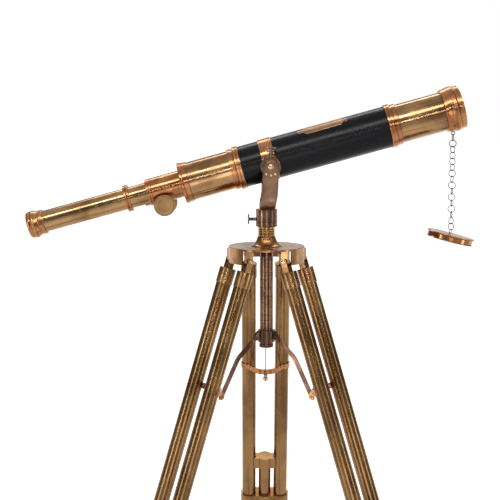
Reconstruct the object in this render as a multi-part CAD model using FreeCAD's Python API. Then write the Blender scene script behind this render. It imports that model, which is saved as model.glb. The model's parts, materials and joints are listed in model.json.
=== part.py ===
import FreeCAD, Part
import math
import os

# A brass spyglass on a floor-standing tripod.
# Millimetres.  +Z is up, the origin is on the floor under the tripod's axis,
# +X is the side that the objective points to, and -Y is the side of the
# tilt-lock screw.  The tripod stands open and the tube is tilted up.

V = FreeCAD.Vector
X_AXIS = V(1, 0, 0)
Y_AXIS = V(0, 1, 0)
Z_AXIS = V(0, 0, 1)
ORIGIN = V(0, 0, 0)

# ---------------------------------------------------------------- clearances
RUN = 0.05            # radial clearance of a running fit
SEAT = 0.05           # radial gap between pieces that are pressed or glued
FREE = 0.4            # gap between faces that move past each other

# ------------------------------------------------------------ overall stance
HUB_HEIGHT = 1280.0   # top of the hub plate above the floor
PIVOT_RISE = 177.0    # tilt axis above the hub plate
FORK_LEAN = 8.0       # tilt axis in front of the pan axis
TILT = 15.4           # tube axis above the horizontal, degrees
SPLAY = 18.5          # leg axis from the vertical, degrees
LEG_AZIMUTHS = {"back": 90.0, "left": 210.0, "right": 330.0}

# ------------------------------------------------- spyglass, along its axis
# Stations run along the tube from the tilt axis, + towards the objective.
TUBE_RISE = 13.0      # tube axis above the tilt axis, square to the tube
TUBE_R = 42.3         # main brass tube
TUBE_WALL = 1.4
SLEEVE_THICK = 2.9    # black covering
SLEEVE_R = TUBE_R + SLEEVE_THICK
SLEEVE_BACK = -60.4
SLEEVE_FRONT = 267.4
RING_RISE = 5.3       # high ring that ends the covering, above the tube
RING_R = TUBE_R + RING_RISE
RING_LENGTH = 12.0
LOW_RING_RISE = 2.7   # low ring beyond it
LOW_RING_R = TUBE_R + LOW_RING_RISE
LOW_RING_LENGTH = 9.0
RING_GROOVE_RISE = 1.4
RING_GROOVE_R = TUBE_R + RING_GROOVE_RISE
RING_GROOVE = 3.0
FLANGE_RISE = 3.5     # flange at the back of the main tube
FLANGE_R = TUBE_R + FLANGE_RISE
FLANGE_LAND_RISE = 1.8
FLANGE_LAND_R = TUBE_R + FLANGE_LAND_RISE
FLANGE_BACK = -196.8
FLANGE_WEB = 6.8
FLANGE_LENGTH = 19.0
CELL_BACK = 391.5     # objective cell
CELL_LENGTH = 41.0
CELL_RISE = 7.1
CELL_R = TUBE_R + CELL_RISE
CELL_RIM_RISE = 4.5
CELL_RIM_R = TUBE_R + CELL_RIM_RISE
CELL_RIM_LENGTH = 8.0
CELL_RIM_THICK = 3.4
CELL_BORE_R = CELL_RIM_R - CELL_RIM_THICK
CELL_SEAT = 11.0      # how far the cell goes over the tube
LENS_STOP_THICK = 3.0
LENS_THICK = 11.4
LENS_RING_LENGTH = 4.0
LENS_PLAY = 1.6
LENS_R = CELL_BORE_R - LENS_PLAY
LENS_STOP_DEPTH = 3.9
LENS_STOP_R = CELL_BORE_R - LENS_STOP_DEPTH
FOCUS_BACK = -274.0
FOCUS_FRONT = -184.0
DRAW_R = 23.65        # draw tube
FOCUS_RISE = 6.15     # focus body, round the draw tube
FOCUS_R = DRAW_R + FOCUS_RISE
DRAW_WALL = 1.5
DRAW_BACK = -319.0
DRAW_FRONT = -150.0
COLLAR_RISE = 5.95
COLLAR_R = DRAW_R + COLLAR_RISE
COLLAR_LENGTH = 10.5
EYECUP_BACK = -545.2
EYECUP_LENGTH = 35.6
EYECUP_NECK_RISE = 2.35
EYECUP_NECK_R = DRAW_R + EYECUP_NECK_RISE
EYECUP_FLARE = 4.8
EYECUP_LIP_R = EYECUP_NECK_R + EYECUP_FLARE
EYE_HOLE_R = 9.0
EYE_LENS_R = 12.0

# --------------------------------------------------------------- nameplate
NAMEPLATE_STATION = 131.0
NAMEPLATE_LENGTH = 114.0
NAMEPLATE_WIDTH = 25.0
NAMEPLATE_EAR = 13.0
NAMEPLATE_EAR_R = 6.0
NAMEPLATE_BITE_R = 4.5
NAMEPLATE_THICK = 1.2
NAMEPLATE_TURN = 28.5     # round the tube from its top towards -Y

# ------------------------------------------------------- rack and pinion
MODULE = 1.0
PINION_TEETH = 15
TOOTH_ADDENDUM = 0.8 * MODULE
TOOTH_DEDENDUM = 1.1 * MODULE
PRESSURE_ANGLE = 20.0
BACKLASH = 0.16
RACK_RISE = 2.85
RACK_PITCH_DROP = DRAW_R + RACK_RISE    # rack's pitch line below the tube axis
RACK_WIDTH = 8.0
RACK_TEETH_BEHIND = 13
RACK_TEETH_AHEAD = 11
PINION_STATION = -243.2
SHAFT_R = 2.5
KNOB_R = 23.5
KNOB_THICK = 9.5
KNOB_GAP = 1.2
KNOB_INNER = FOCUS_R + KNOB_GAP   # knob's inner face from the tube's mid-plane

# ------------------------------------------------------- clamp band and fork
BAND_THICK = 2.0
BAND_R = SLEEVE_R + BAND_THICK
BAND_LENGTH = 28.6
PAD_R = 12.0
PIVOT_PIN_R = 4.0
DRUM_R = 22.5
DRUM_THICK = 10.0
DRUM_GAP = 0.6
DRUM_INNER = BAND_R + DRUM_GAP    # drum's inner face from the mid-plane
ARM_THICK = 5.0
ARM_HEAD_R = 15.6
ARM_MID_HALF = 17.6
ARM_FOOT_HALF = 16.8
ARM_KNEE_DROP = 62.0      # where each arm starts to lean in, below the tilt axis
ARM_KNEE_LEAN = 6.2
ARM_KNEE_HALF = 17.0
FORK_BEND_R = 24.0        # outside radius of the fork's lower corners
ARM_SCREW_CIRCLE = 18.5
ARM_SCREW_R = 2.3
SPINDLE_R = 12.0
SPINDLE_LENGTH = 32.0

# ------------------------------------------------------------ hub and column
PLATE_R = 84.2
PLATE_THICK = 4.4
SKIRT_THICK = 4.0
SKIRT_HEIGHT = 34.5
SKIRT_HALF_ANGLE = 20.5
NECK_BASE_R = 33.6
NECK_R = 18.3
NECK_FLARE = 22.0
SOCKET_R = 23.8
SOCKET_BOTTOM = 43.0      # above the plate
SOCKET_LENGTH = 38.4
COLUMN_R = 14.85
COLUMN_WALL = 2.5
COLUMN_LENGTH = 221.6     # below the plate's underside
COLUMN_RING_R = 16.0

# --------------------------------------------------------------------- legs
HINGE_R = 68.0            # hinge pins from the tripod's axis
HINGE_DROP = 27.0         # hinge pins below the plate's top
PAIR_HALF = 38.85         # half the spacing of a leg's two tubes
LEG_TUBE_R = 16.75
LEG_WALL = 1.1
FERRULE_RISE = 1.45
FERRULE_R = LEG_TUBE_R + FERRULE_RISE
FERRULE_TOP = 23.0        # below the hinge pin, along the leg
FERRULE_LENGTH = 35.0
FERRULE_CAP = 4.0
LUG_THICK = 9.0
LUG_R = 8.0
EAR_THICK = 4.6
EAR_R = 7.0
HINGE_PIN_R = 3.0
UPPER_LENGTH = 700.0      # upper tubes' lower end below the hinge pin
CLAMP_HEIGHT = 44.0
CLAMP_RISE = 3.75
CLAMP_R = LEG_TUBE_R + CLAMP_RISE
CLAMP_HALF_DEPTH = 18.5
SLIDER_R = 15.0           # lower tube, between the upper pair
SLIDER_WALL = 1.2
SLIDER_TOP = 560.0        # lower tube's top below the hinge pin
SHOE_LENGTH = 30.0
SHOE_HALF_DEPTH = 12.0
FOOT_R = 19.0
FOOT_LENGTH = 62.0
FOOT_SOLE = 14.0

# ------------------------------------------------- cross bands and braces
BAND_DROP = 287.0         # band's middle below the hinge pin
BAND_HEIGHT = 13.0
STRAP_THICK = 2.5
BAND_BULGE = 41.0         # band's middle inward of the tubes' plane
BRACE_PIVOT_DROP = 298.0
BRACE_PIVOT_INSET = 51.2
BRACE_PIN_R = 1.7
BRACE_HALF_WIDTH = 5.25
BRACE_THICK = 2.0
BRACE_BEND_R = 45.0
BRACE_SLOT = 3.4          # play of the open outer pivot each way along the brace
BRACE_SLOT_SIDE = 1.4     # and each way across it
FORK_EAR_THICK = 2.2
FORK_EAR_R = 5.6
SPIDER_DROP = 204.0       # brace pins below the plate's top
SPIDER_PIN_CIRCLE = 27.3
SPIDER_R = 19.0
SPIDER_HEIGHT = 26.0
BRACE_ELBOW_OUT = 44.7    # elbow from the inner pin, outward and down
BRACE_ELBOW_DOWN = 41.0

# ----------------------------------------------------- wing screws, chain
WING_STEM_R = 3.9
WING_SHAFT_R = 3.0
WING_HALF_SPAN = 11.4
WING_THICK = 3.6
LINK_R = 7.45             # chain link, to the middle of its wire
WIRE_R = 0.8
LINK_GAP = 0.3
LINK_COUNTS = {"chain_upper": 5, "chain_middle": 7, "chain_lower": 4}
# How far each link, from the top, is turned from standing square, degrees.
CHAIN_TWIST = (0, 0, 30, 30, 42, 42, 58, 60, 75, 90, 90, 90, 90, 90, 130, 130)
EYE_AHEAD = 11.7          # eye for the chain, ahead of the objective cell's back
EYE_STATION = CELL_BACK + EYE_AHEAD
EYE_RING_R = 3.6
EYE_SUNK = 3.4            # eye's foot, sunk into the cell
EYE_FOOT_DROP = CELL_R - EYE_SUNK
EYE_SHANK = 2.0
CAP_WALL = 2.4
CAP_CLEARANCE = 0.35      # between the cap's skirt and the objective's rim
CAP_RING_R = 4.4
CAP_STUD_R = 1.6
CAP_STUD_OFFSET = 2.4     # ring from the cap's middle, which makes it hang tilted
CAP_DEPTH = 15.0
CAP_FLANGE_RISE = 3.45
CAP_LIP_RISE = 1.45
CAP_OUTER_R = CELL_RIM_R + CAP_CLEARANCE + CAP_WALL
CAP_FLANGE_R = CAP_OUTER_R + CAP_FLANGE_RISE
CAP_LIP_R = CAP_OUTER_R + CAP_LIP_RISE
CAP_FLANGE_THICK = 2.4
CAP_EDGE = 0.8
CAP_TILT = 14.0           # cap's left side up, as it hangs

PIVOT = V(FORK_LEAN, 0, HUB_HEIGHT + PIVOT_RISE)
PINION_DROP = RACK_PITCH_DROP + MODULE * PINION_TEETH / 2
LINK_PITCH = 2 * (LINK_R - WIRE_R) - LINK_GAP
LEG_LENGTH = (HUB_HEIGHT - HINGE_DROP) / math.cos(math.radians(SPLAY))

parts = {}


# ================================================================== helpers
def rod(radius, length, start=ORIGIN, axis=Z_AXIS):
    """A round bar."""
    return Part.makeCylinder(radius, length, start, axis)


def pipe(outer, inner, length, start=ORIGIN, axis=Z_AXIS):
    """A round tube."""
    return rod(outer, length, start, axis).cut(rod(inner, length, start, axis))


def block(low, high):
    """A box between two corners."""
    low, high = V(*low), V(*high)
    size = high - low
    return Part.makeBox(size.x, size.y, size.z, low)


def wire_through(points):
    """A closed wire; a point given as (end, middle) ends an arc."""
    ends = [p[0] if isinstance(p, tuple) else p for p in points]
    edges = []
    for i, point in enumerate(points):
        start = ends[i - 1]
        if isinstance(point, tuple):
            edges.append(Part.Arc(start, point[1], point[0]).toShape())
        elif start.distanceToPoint(point) > 1e-6:
            edges.append(Part.LineSegment(start, point).toShape())
    return Part.Wire(edges)


def turned(profile):
    """A solid of revolution about the X axis.

    The profile is a list of (station, radius), or of
    (station, radius, mid_station, mid_radius) where an arc ends.
    """
    points = []
    for p in profile:
        if len(p) == 2:
            points.append(V(p[0], 0, p[1]))
        else:
            points.append((V(p[0], 0, p[1]), V(p[2], 0, p[3])))
    face = Part.Face(wire_through(points))
    return face.revolve(ORIGIN, X_AXIS, 360)


def upright(shape):
    """Turn a piece that was turned about X so that its axis is +Z."""
    out = shape.copy()
    out.rotate(ORIGIN, Y_AXIS, -90)
    return out


def plate_between(p, p_radius, q, q_radius, thick):
    """A link plate in the XZ plane round two circles, centred on Y = 0."""
    along = (q - p).normalize()
    side = V(-along.z, 0, along.x)
    lift = math.asin((p_radius - q_radius) / p.distanceToPoint(q))
    up = side * math.cos(lift) + along * math.sin(lift)
    down = side * -math.cos(lift) + along * math.sin(lift)
    face = Part.Face(wire_through([
        p + up * p_radius,
        q + up * q_radius,
        (q + down * q_radius, q + along * q_radius),
        p + down * p_radius,
        (p + up * p_radius, p - along * p_radius),
    ]))
    face.translate(V(0, -thick / 2, 0))
    return face.extrude(V(0, thick, 0))


def moved(shape, offset):
    out = shape.copy()
    out.translate(offset)
    return out


def turned_by(shape, axis, degrees, centre=ORIGIN):
    out = shape.copy()
    out.rotate(centre, axis, degrees)
    return out


def both_sides(shape):
    """A piece and its mirror image across the XZ plane."""
    return [shape, shape.mirror(ORIGIN, Y_AXIS)]


def group(solids):
    return Part.makeCompound(solids)


def keep(name, shape):
    parts[name] = shape


def on_tube(shape):
    """Set a piece from the tube's own axis into the tilted spyglass."""
    out = moved(shape, V(0, 0, TUBE_RISE))
    out.rotate(ORIGIN, Y_AXIS, -TILT)
    out.translate(PIVOT)
    return out


def point_on_tube(station, height):
    """A point beside the tube's axis, as it stands in the tilted spyglass."""
    return on_tube(Part.Vertex(V(station, 0, height))).Point


def on_trunnion(shape):
    """Set a piece from the tilt axis into the tilted spyglass."""
    return on_tube(moved(shape, V(0, 0, -TUBE_RISE)))


def on_hub(shape):
    return moved(shape, V(0, 0, HUB_HEIGHT))


def on_leg(shape, azimuth):
    """Set a piece from the hinge pin, leg hanging along -Z, into its leg."""
    out = turned_by(shape, Y_AXIS, -SPLAY)
    out.translate(V(HINGE_R, 0, HUB_HEIGHT - HINGE_DROP))
    out.rotate(ORIGIN, Z_AXIS, azimuth)
    return out


def screw_head(radius, height, slot=True):
    """A domed slotted head that stands on the XY plane."""
    dome = radius * 0.25
    head = upright(turned([
        (0, 0),
        (0, radius),
        (height - dome, radius),
        (height, 0, height - dome * 0.35, radius * 0.72),
    ]))
    if slot:
        half = radius * 0.16
        cut = block((-radius, -half, height - dome * 1.7), (radius, half, height + 1))
        head = head.cut(cut)
    return head


def wing_screw(stem_length, shaft_length):
    """A screw with a wing: shaft down -Z, stem from 0 up, wing on top."""
    shaft = rod(WING_SHAFT_R, shaft_length + 1, V(0, 0, -shaft_length))
    stem = rod(WING_STEM_R, stem_length)
    left = V(-WING_HALF_SPAN + WING_THICK / 2, 0, stem_length + WING_THICK / 2)
    right = V(-left.x, 0, left.z)
    wing = plate_between(left, WING_THICK / 2, right, WING_THICK / 2, WING_THICK)
    boss = rod(WING_STEM_R, WING_THICK, V(0, 0, stem_length))
    return shaft.fuse([stem, wing, boss]).removeSplitter()


# ================================================================= spyglass
def ring_stack(back, high_first):
    """The high ring, groove and low ring at one end of the covering."""
    first = RING_LENGTH if high_first else LOW_RING_LENGTH
    second = LOW_RING_LENGTH if high_first else RING_LENGTH
    first_r = RING_R if high_first else LOW_RING_R
    second_r = LOW_RING_R if high_first else RING_R
    edge = 0.8
    bore = TUBE_R + SEAT
    a = back + first
    b = a + RING_GROOVE
    end = b + second
    return turned([
        (back, bore),
        (back, first_r - edge),
        (back + edge, first_r),
        (a - edge, first_r),
        (a, first_r - edge),
        (a, RING_GROOVE_R),
        (b, RING_GROOVE_R),
        (b, second_r - edge),
        (b + edge, second_r),
        (end - edge, second_r),
        (end, second_r - edge),
        (end, bore),
    ])


def main_tube():
    back = FLANGE_BACK + FLANGE_WEB
    front = CELL_BACK + CELL_SEAT
    body = pipe(TUBE_R, TUBE_R - TUBE_WALL, front - back, V(back, 0, 0), X_AXIS)
    return body


def rear_flange():
    web_front = FLANGE_BACK + FLANGE_WEB
    front = FLANGE_BACK + FLANGE_LENGTH
    bead = 1.2
    return turned([
        (FLANGE_BACK, FOCUS_R + SEAT),
        (FLANGE_BACK, FLANGE_R - bead),
        (FLANGE_BACK + bead, FLANGE_R),
        (web_front - bead, FLANGE_R),
        (web_front, FLANGE_LAND_R),
        (front - 0.6, FLANGE_LAND_R),
        (front, FLANGE_LAND_R - 0.6),
        (front, TUBE_R + SEAT),
        (web_front, TUBE_R + SEAT),
        (web_front, FOCUS_R + SEAT),
    ])


def objective_cell():
    """Cell that screws over the main tube, with the ring that holds the lens."""
    back = CELL_BACK
    front = CELL_BACK + CELL_LENGTH
    seat = back + CELL_SEAT
    rim = front - CELL_RIM_LENGTH
    shell = turned([
        (back, TUBE_R + SEAT),
        (back, CELL_R - 3.8),
        (back + 1.0, CELL_R - 3.0),
        (back + 13.0, CELL_R - 1.5, back + 7.5, CELL_R - 2.5),
        (back + 18.0, CELL_R - 0.6, back + 15.8, CELL_R - 0.8),
        (back + 19.5, CELL_R),
        (back + 26.0, CELL_R),
        (rim - 5.0, CELL_R - 1.2, rim - 6.0, CELL_R - 0.3),
        (rim - 3.6, CELL_RIM_R + 0.5),
        (rim, CELL_RIM_R + 0.5),
        (rim, CELL_RIM_R),
        (front - 1.0, CELL_RIM_R),
        (front, CELL_RIM_R - 1.0),
        (front, CELL_BORE_R),
        (seat + LENS_STOP_THICK, CELL_BORE_R),
        (seat + LENS_STOP_THICK, LENS_STOP_R),
        (seat, LENS_STOP_R),
        (seat, TUBE_R + SEAT),
    ])
    ring_back = seat + LENS_STOP_THICK + LENS_THICK
    ring = turned([
        (ring_back, CELL_BORE_R - SEAT),
        (ring_back, LENS_STOP_R),
        (ring_back + LENS_RING_LENGTH, LENS_STOP_R + 2.0),
        (ring_back + LENS_RING_LENGTH, CELL_BORE_R - SEAT),
    ])
    return group([shell, ring])


def objective_lens():
    """A cemented pair: a crown lens in front of a flint lens."""
    back = CELL_BACK + CELL_SEAT + LENS_STOP_THICK
    middle = back + 4.0
    front = back + LENS_THICK
    flat = 1.5
    flint = turned([
        (back, 0),
        (back, flat),
        (back + 0.6, LENS_R, back + 0.2, LENS_R * 0.55),
        (middle + 1.4, LENS_R),
        (middle, flat, middle + 0.4, LENS_R * 0.5),
        (middle, 0),
    ])
    crown = turned([
        (middle + 0.05, 0),
        (middle + 0.05, flat),
        (middle + 1.45, LENS_R, middle + 0.45, LENS_R * 0.5),
        (front - 2.2, LENS_R),
        (front - 0.4, flat, front - 0.85, LENS_R * 0.5),
        (front - 0.4, 0),
    ])
    return group([flint, crown])


def focus_body():
    bore = DRAW_R + RUN
    shell = turned([
        (FOCUS_BACK, bore),
        (FOCUS_BACK, FOCUS_R - 1.0),
        (FOCUS_BACK + 1.0, FOCUS_R),
        (FOCUS_FRONT, FOCUS_R),
        (FOCUS_FRONT, bore),
    ])
    half = RACK_WIDTH / 2 + 0.5
    slot = block((FOCUS_BACK - 1, -half, -FOCUS_R - 1), (FOCUS_FRONT + 1, half, -DRAW_R + 4))
    return shell.cut(slot)


def draw_tube():
    length = DRAW_FRONT - DRAW_BACK
    return pipe(DRAW_R, DRAW_R - DRAW_WALL, length, V(DRAW_BACK, 0, 0), X_AXIS)


def rack():
    """Straight rack on the underside of the draw tube."""
    pitch = math.pi * MODULE
    lean = math.tan(math.radians(PRESSURE_ANGLE))
    half_pitch_line = pitch / 4 - BACKLASH / 4
    tip_half = half_pitch_line - TOOTH_ADDENDUM * lean
    root_half = half_pitch_line + TOOTH_DEDENDUM * lean
    tip = -RACK_PITCH_DROP - TOOTH_ADDENDUM
    root = -RACK_PITCH_DROP + TOOTH_DEDENDUM
    points = []
    for i in range(-RACK_TEETH_BEHIND, RACK_TEETH_AHEAD + 1):
        middle = PINION_STATION + i * pitch
        points.append(V(middle - root_half, 0, root))
        points.append(V(middle - tip_half, 0, tip))
        points.append(V(middle + tip_half, 0, tip))
        points.append(V(middle + root_half, 0, root))
    back = points[0].x - 1.0
    front = points[-1].x + 1.0
    top = -DRAW_R + 2.0
    points = [V(back, 0, top), V(back, 0, root)] + points + [V(front, 0, root), V(front, 0, top)]
    face = Part.Face(wire_through(points))
    face.translate(V(0, -RACK_WIDTH / 2, 0))
    bar = face.extrude(V(0, RACK_WIDTH, 0))
    return bar.cut(rod(DRAW_R + SEAT, front - back + 2, V(back - 1, 0, 0), X_AXIS))


def pinion():
    """Involute pinion on the knobs' shaft, its axis along Y at the origin."""
    pitch_r = MODULE * PINION_TEETH / 2
    base_r = pitch_r * math.cos(math.radians(PRESSURE_ANGLE))
    tip_r = pitch_r + TOOTH_ADDENDUM
    root_r = pitch_r - TOOTH_DEDENDUM

    def involute(radius):
        if radius <= base_r:
            return 0.0
        turn = math.sqrt((radius / base_r) ** 2 - 1)
        return turn - math.atan(turn)

    half_at_pitch = (math.pi * MODULE / 4 - BACKLASH / 4) / pitch_r
    radii = [root_r, base_r, pitch_r, (pitch_r + tip_r) / 2, tip_r]
    flank = [half_at_pitch + involute(pitch_r) - involute(r) for r in radii]
    points = []
    for tooth in range(PINION_TEETH):
        # a gap, not a tooth, faces the rack at rest
        middle = math.radians(90) + (tooth + 0.5) * 2 * math.pi / PINION_TEETH
        sides = [(r, middle - a) for r, a in zip(radii, flank)]
        sides += [(r, middle + a) for r, a in reversed(list(zip(radii, flank)))]
        points += [V(r * math.cos(a), 0, r * math.sin(a)) for r, a in sides]
    width = RACK_WIDTH - 0.6
    face = Part.Face(wire_through(points))
    face.translate(V(0, -width / 2, 0))
    gear = face.extrude(V(0, width, 0))
    reach = KNOB_INNER + KNOB_THICK - 2.0
    return gear.fuse(rod(SHAFT_R, 2 * reach, V(0, -reach, 0), Y_AXIS))


def knob():
    """Focus knob on the +Y side of the shaft, its axis along Y."""
    edge = 1.2
    disc = turned([
        (KNOB_INNER, SHAFT_R + SEAT),
        (KNOB_INNER, KNOB_R - edge),
        (KNOB_INNER + edge, KNOB_R),
        (KNOB_INNER + KNOB_THICK - edge, KNOB_R),
        (KNOB_INNER + KNOB_THICK, KNOB_R - edge),
        (KNOB_INNER + KNOB_THICK, KNOB_R - 2.6),
        (KNOB_INNER + KNOB_THICK - 0.4, KNOB_R - 3.2),
        (KNOB_INNER + KNOB_THICK - 0.4, 3.4),
        (KNOB_INNER + KNOB_THICK, 3.0),
        (KNOB_INNER + KNOB_THICK, 0),
        (KNOB_INNER + KNOB_THICK - 2.0, 0),
        (KNOB_INNER + KNOB_THICK - 2.0, SHAFT_R + SEAT),
    ])
    return turned_by(disc, Z_AXIS, 90)


def pinion_housing():
    """Saddle under the focus body that carries the pinion's shaft."""
    half_width = RACK_WIDTH / 2 + 9.0
    barrel = rod(12.0, 2 * half_width, V(0, -half_width, 0), Y_AXIS)
    cheek = block((-12, -half_width, 0), (12, half_width, PINION_DROP - FOCUS_R * 0.7))
    foot = block((-19, -half_width, PINION_DROP - FOCUS_R - 3.0),
                 (19, half_width, PINION_DROP - FOCUS_R * 0.7))
    shell = barrel.fuse([cheek, foot])
    pocket_half = RACK_WIDTH / 2 + 0.6
    pocket_r = MODULE * PINION_TEETH / 2 + TOOTH_ADDENDUM + 0.8
    pocket = rod(pocket_r, 2 * pocket_half, V(0, -pocket_half, 0), Y_AXIS)
    pocket_top = block((-pocket_r, -pocket_half, 0), (pocket_r, pocket_half, PINION_DROP))
    bore = rod(SHAFT_R + RUN, 2 * half_width + 2, V(0, -half_width - 1, 0), Y_AXIS)
    rack_way = block((-30, -pocket_half, PINION_DROP - FOCUS_R - 4), (30, pocket_half, PINION_DROP))
    tube = rod(FOCUS_R + SEAT, 60, V(-30, 0, PINION_DROP), X_AXIS)
    return shell.cut([pocket, pocket_top, bore, rack_way, tube]).removeSplitter()


def eyepiece_collar():
    back = DRAW_BACK - COLLAR_LENGTH / 2
    edge = 0.9
    ring = turned([
        (back, DRAW_R + SEAT),
        (back, COLLAR_R - edge),
        (back + edge, COLLAR_R),
        (back + COLLAR_LENGTH * 0.42, COLLAR_R),
        (back + COLLAR_LENGTH * 0.5, COLLAR_R - 0.9),
        (back + COLLAR_LENGTH * 0.58, COLLAR_R),
        (back + COLLAR_LENGTH - edge, COLLAR_R),
        (back + COLLAR_LENGTH, COLLAR_R - edge),
        (back + COLLAR_LENGTH, DRAW_R + SEAT),
    ])
    screw_x = back + COLLAR_LENGTH * 0.25
    hole = rod(1.5, 10, V(screw_x, -COLLAR_R - 2, 0), Y_AXIS)
    shank_length = COLLAR_R - DRAW_R - SEAT - 0.1
    screw = rod(1.5 - SEAT, shank_length, V(0, 0, -shank_length)).fuse(screw_head(2.9, 2.0))
    screw.rotate(ORIGIN, X_AXIS, 90)
    screw.translate(V(screw_x, -COLLAR_R, 0))
    return group([ring.cut(hole), screw])


def eyepiece_tube():
    back = EYECUP_BACK + EYECUP_LENGTH - 10.0
    return pipe(DRAW_R, DRAW_R - DRAW_WALL, DRAW_BACK - back, V(back, 0, 0), X_AXIS)


def eyecup():
    """Bell-mouthed eyecup that screws over the end of the eyepiece tube."""
    back = EYECUP_BACK
    front = back + EYECUP_LENGTH
    seat = front - 10.0
    flange_r = EYECUP_NECK_R + 1.1
    return turned([
        (front, DRAW_R + SEAT),
        (front, flange_r - 0.5),
        (front - 0.6, flange_r),
        (front - 8.0, flange_r),
        (front - 8.8, EYECUP_NECK_R),
        (front - 10.6, EYECUP_NECK_R),
        (back + 16.5, EYECUP_LIP_R - 1.2, back + 21.0, EYECUP_NECK_R + 1.4),
        (back + 9.0, EYECUP_LIP_R - 1.4, back + 13.2, EYECUP_LIP_R + 0.4),
        (back, EYECUP_NECK_R + 1.2, back + 3.4, EYECUP_NECK_R + 3.2),
        (back + 1.2, EYECUP_NECK_R - 1.2, back - 0.1, EYECUP_NECK_R - 0.2),
        (seat - 9.0, EYE_HOLE_R, back + 13.0, EYECUP_NECK_R - 7.0),
        (seat - 7.0, EYE_HOLE_R),
        (seat - 7.0, EYE_LENS_R + SEAT),
        (seat, EYE_LENS_R + SEAT),
        (seat, DRAW_R + SEAT),
    ])


def lens(middle, radius, thick):
    """A lens that is fuller in the middle, about the X axis."""
    rim = thick * 0.25
    flat = 1.0
    return turned([
        (middle - thick / 2, 0),
        (middle - thick / 2, flat),
        (middle - rim, radius, middle - thick * 0.43, radius * 0.55),
        (middle + rim, radius),
        (middle + thick / 2, flat, middle + thick * 0.43, radius * 0.55),
        (middle + thick / 2, 0),
    ])


def clamp_band():
    """Band round the covering with a bored pad on each side for the pivots."""
    half = BAND_LENGTH / 2
    edge = 0.6
    bore = SLEEVE_R + SEAT
    ring = turned([
        (-half, bore),
        (-half, BAND_R - edge),
        (-half + edge, BAND_R),
        (half - edge, BAND_R),
        (half, BAND_R - edge),
        (half, bore),
    ])
    reach = DRUM_INNER - FREE
    pad_length = reach - SLEEVE_R * 0.8
    pad = rod(PAD_R, pad_length, V(0, SLEEVE_R * 0.8, -TUBE_RISE), Y_AXIS)
    bored = rod(PIVOT_PIN_R + SEAT, 2 * reach, V(0, -reach, -TUBE_RISE), Y_AXIS)
    inside = rod(bore, BAND_LENGTH + 2, V(-half - 1, 0, 0), X_AXIS)
    pads = [p.cut(inside) for p in both_sides(pad)]
    return ring.fuse(pads).cut(bored).removeSplitter()


def pivot_screw():
    """Shoulder screw on the +Y side, from the tilt axis."""
    inner = SLEEVE_R + 0.3
    outer = DRUM_INNER + DRUM_THICK + ARM_THICK + 0.3
    shank = rod(PIVOT_PIN_R, outer - inner + 0.5, V(0, inner, 0), Y_AXIS)
    head = turned_by(screw_head(5.6, 3.0), Z_AXIS, 35)
    head.rotate(ORIGIN, X_AXIS, -90)
    head.translate(V(0, outer, 0))
    return shank.fuse(head)


def nameplate_outline(height):
    """The plate's outline, lying flat: a panel with a round ear at each end."""
    half = NAMEPLATE_LENGTH / 2
    panel = half - NAMEPLATE_EAR
    width = NAMEPLATE_WIDTH / 2
    ear = NAMEPLATE_EAR_R
    body = block((-panel, -width, 0), (panel, width, height))
    shape = body
    for side in (-1, 1):
        lobe = rod(ear, height, V(side * (half - ear), 0, 0))
        link = block((-(half - ear), -ear * 0.8, 0), (half - ear, ear * 0.8, height))
        bite_top = rod(NAMEPLATE_BITE_R, height, V(side * panel, width, 0))
        bite_low = rod(NAMEPLATE_BITE_R, height, V(side * panel, -width, 0))
        shape = shape.cut([bite_top, bite_low]).fuse([lobe, link])
    return shape.removeSplitter()


def nameplate():
    """A blank plate bent round the covering."""
    shell = pipe(SLEEVE_R + SEAT + NAMEPLATE_THICK, SLEEVE_R + SEAT, NAMEPLATE_LENGTH + 2,
                 V(-NAMEPLATE_LENGTH / 2 - 1, 0, 0), X_AXIS)
    outline = nameplate_outline(SLEEVE_R + 10)
    plate = shell.common(outline)
    hole_x = NAMEPLATE_LENGTH / 2 - NAMEPLATE_EAR_R
    holes = [rod(1.5, SLEEVE_R + 10, V(side * hole_x, 0, 0)) for side in (-1, 1)]
    plate = plate.cut(holes)
    plate.translate(V(NAMEPLATE_STATION, 0, 0))
    return turned_by(plate, X_AXIS, NAMEPLATE_TURN)


def small_screws():
    """The nameplate's two screws and the pinion housing's four."""
    screws = []
    radius = SLEEVE_R + SEAT + NAMEPLATE_THICK
    for side in (-1, 1):
        pin = rod(1.4, NAMEPLATE_THICK, V(0, 0, -NAMEPLATE_THICK))
        screw = pin.fuse(screw_head(2.6, 1.3))
        station = NAMEPLATE_STATION + side * (NAMEPLATE_LENGTH / 2 - NAMEPLATE_EAR_R)
        screw.translate(V(station, 0, radius + 0.05))
        screws.append(turned_by(screw, X_AXIS, NAMEPLATE_TURN))
    for x in (-16.0, 16.0):
        for y in (-9.0, 9.0):
            head = screw_head(1.9, 1.4)
            head.rotate(ORIGIN, X_AXIS, 180)
            head.translate(V(PINION_STATION + x, y, -FOCUS_R - 3.05))
            screws.append(head)
    return group(screws)


def link_axis(index):
    """Axis of a link's ring: square to its neighbours', then turned by its twist."""
    if index < 0:
        return Y_AXIS
    twist = CHAIN_TWIST[min(index, len(CHAIN_TWIST) - 1)]
    angle = math.radians(90 * (index % 2) + twist)
    return V(math.cos(angle), math.sin(angle), 0)


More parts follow.
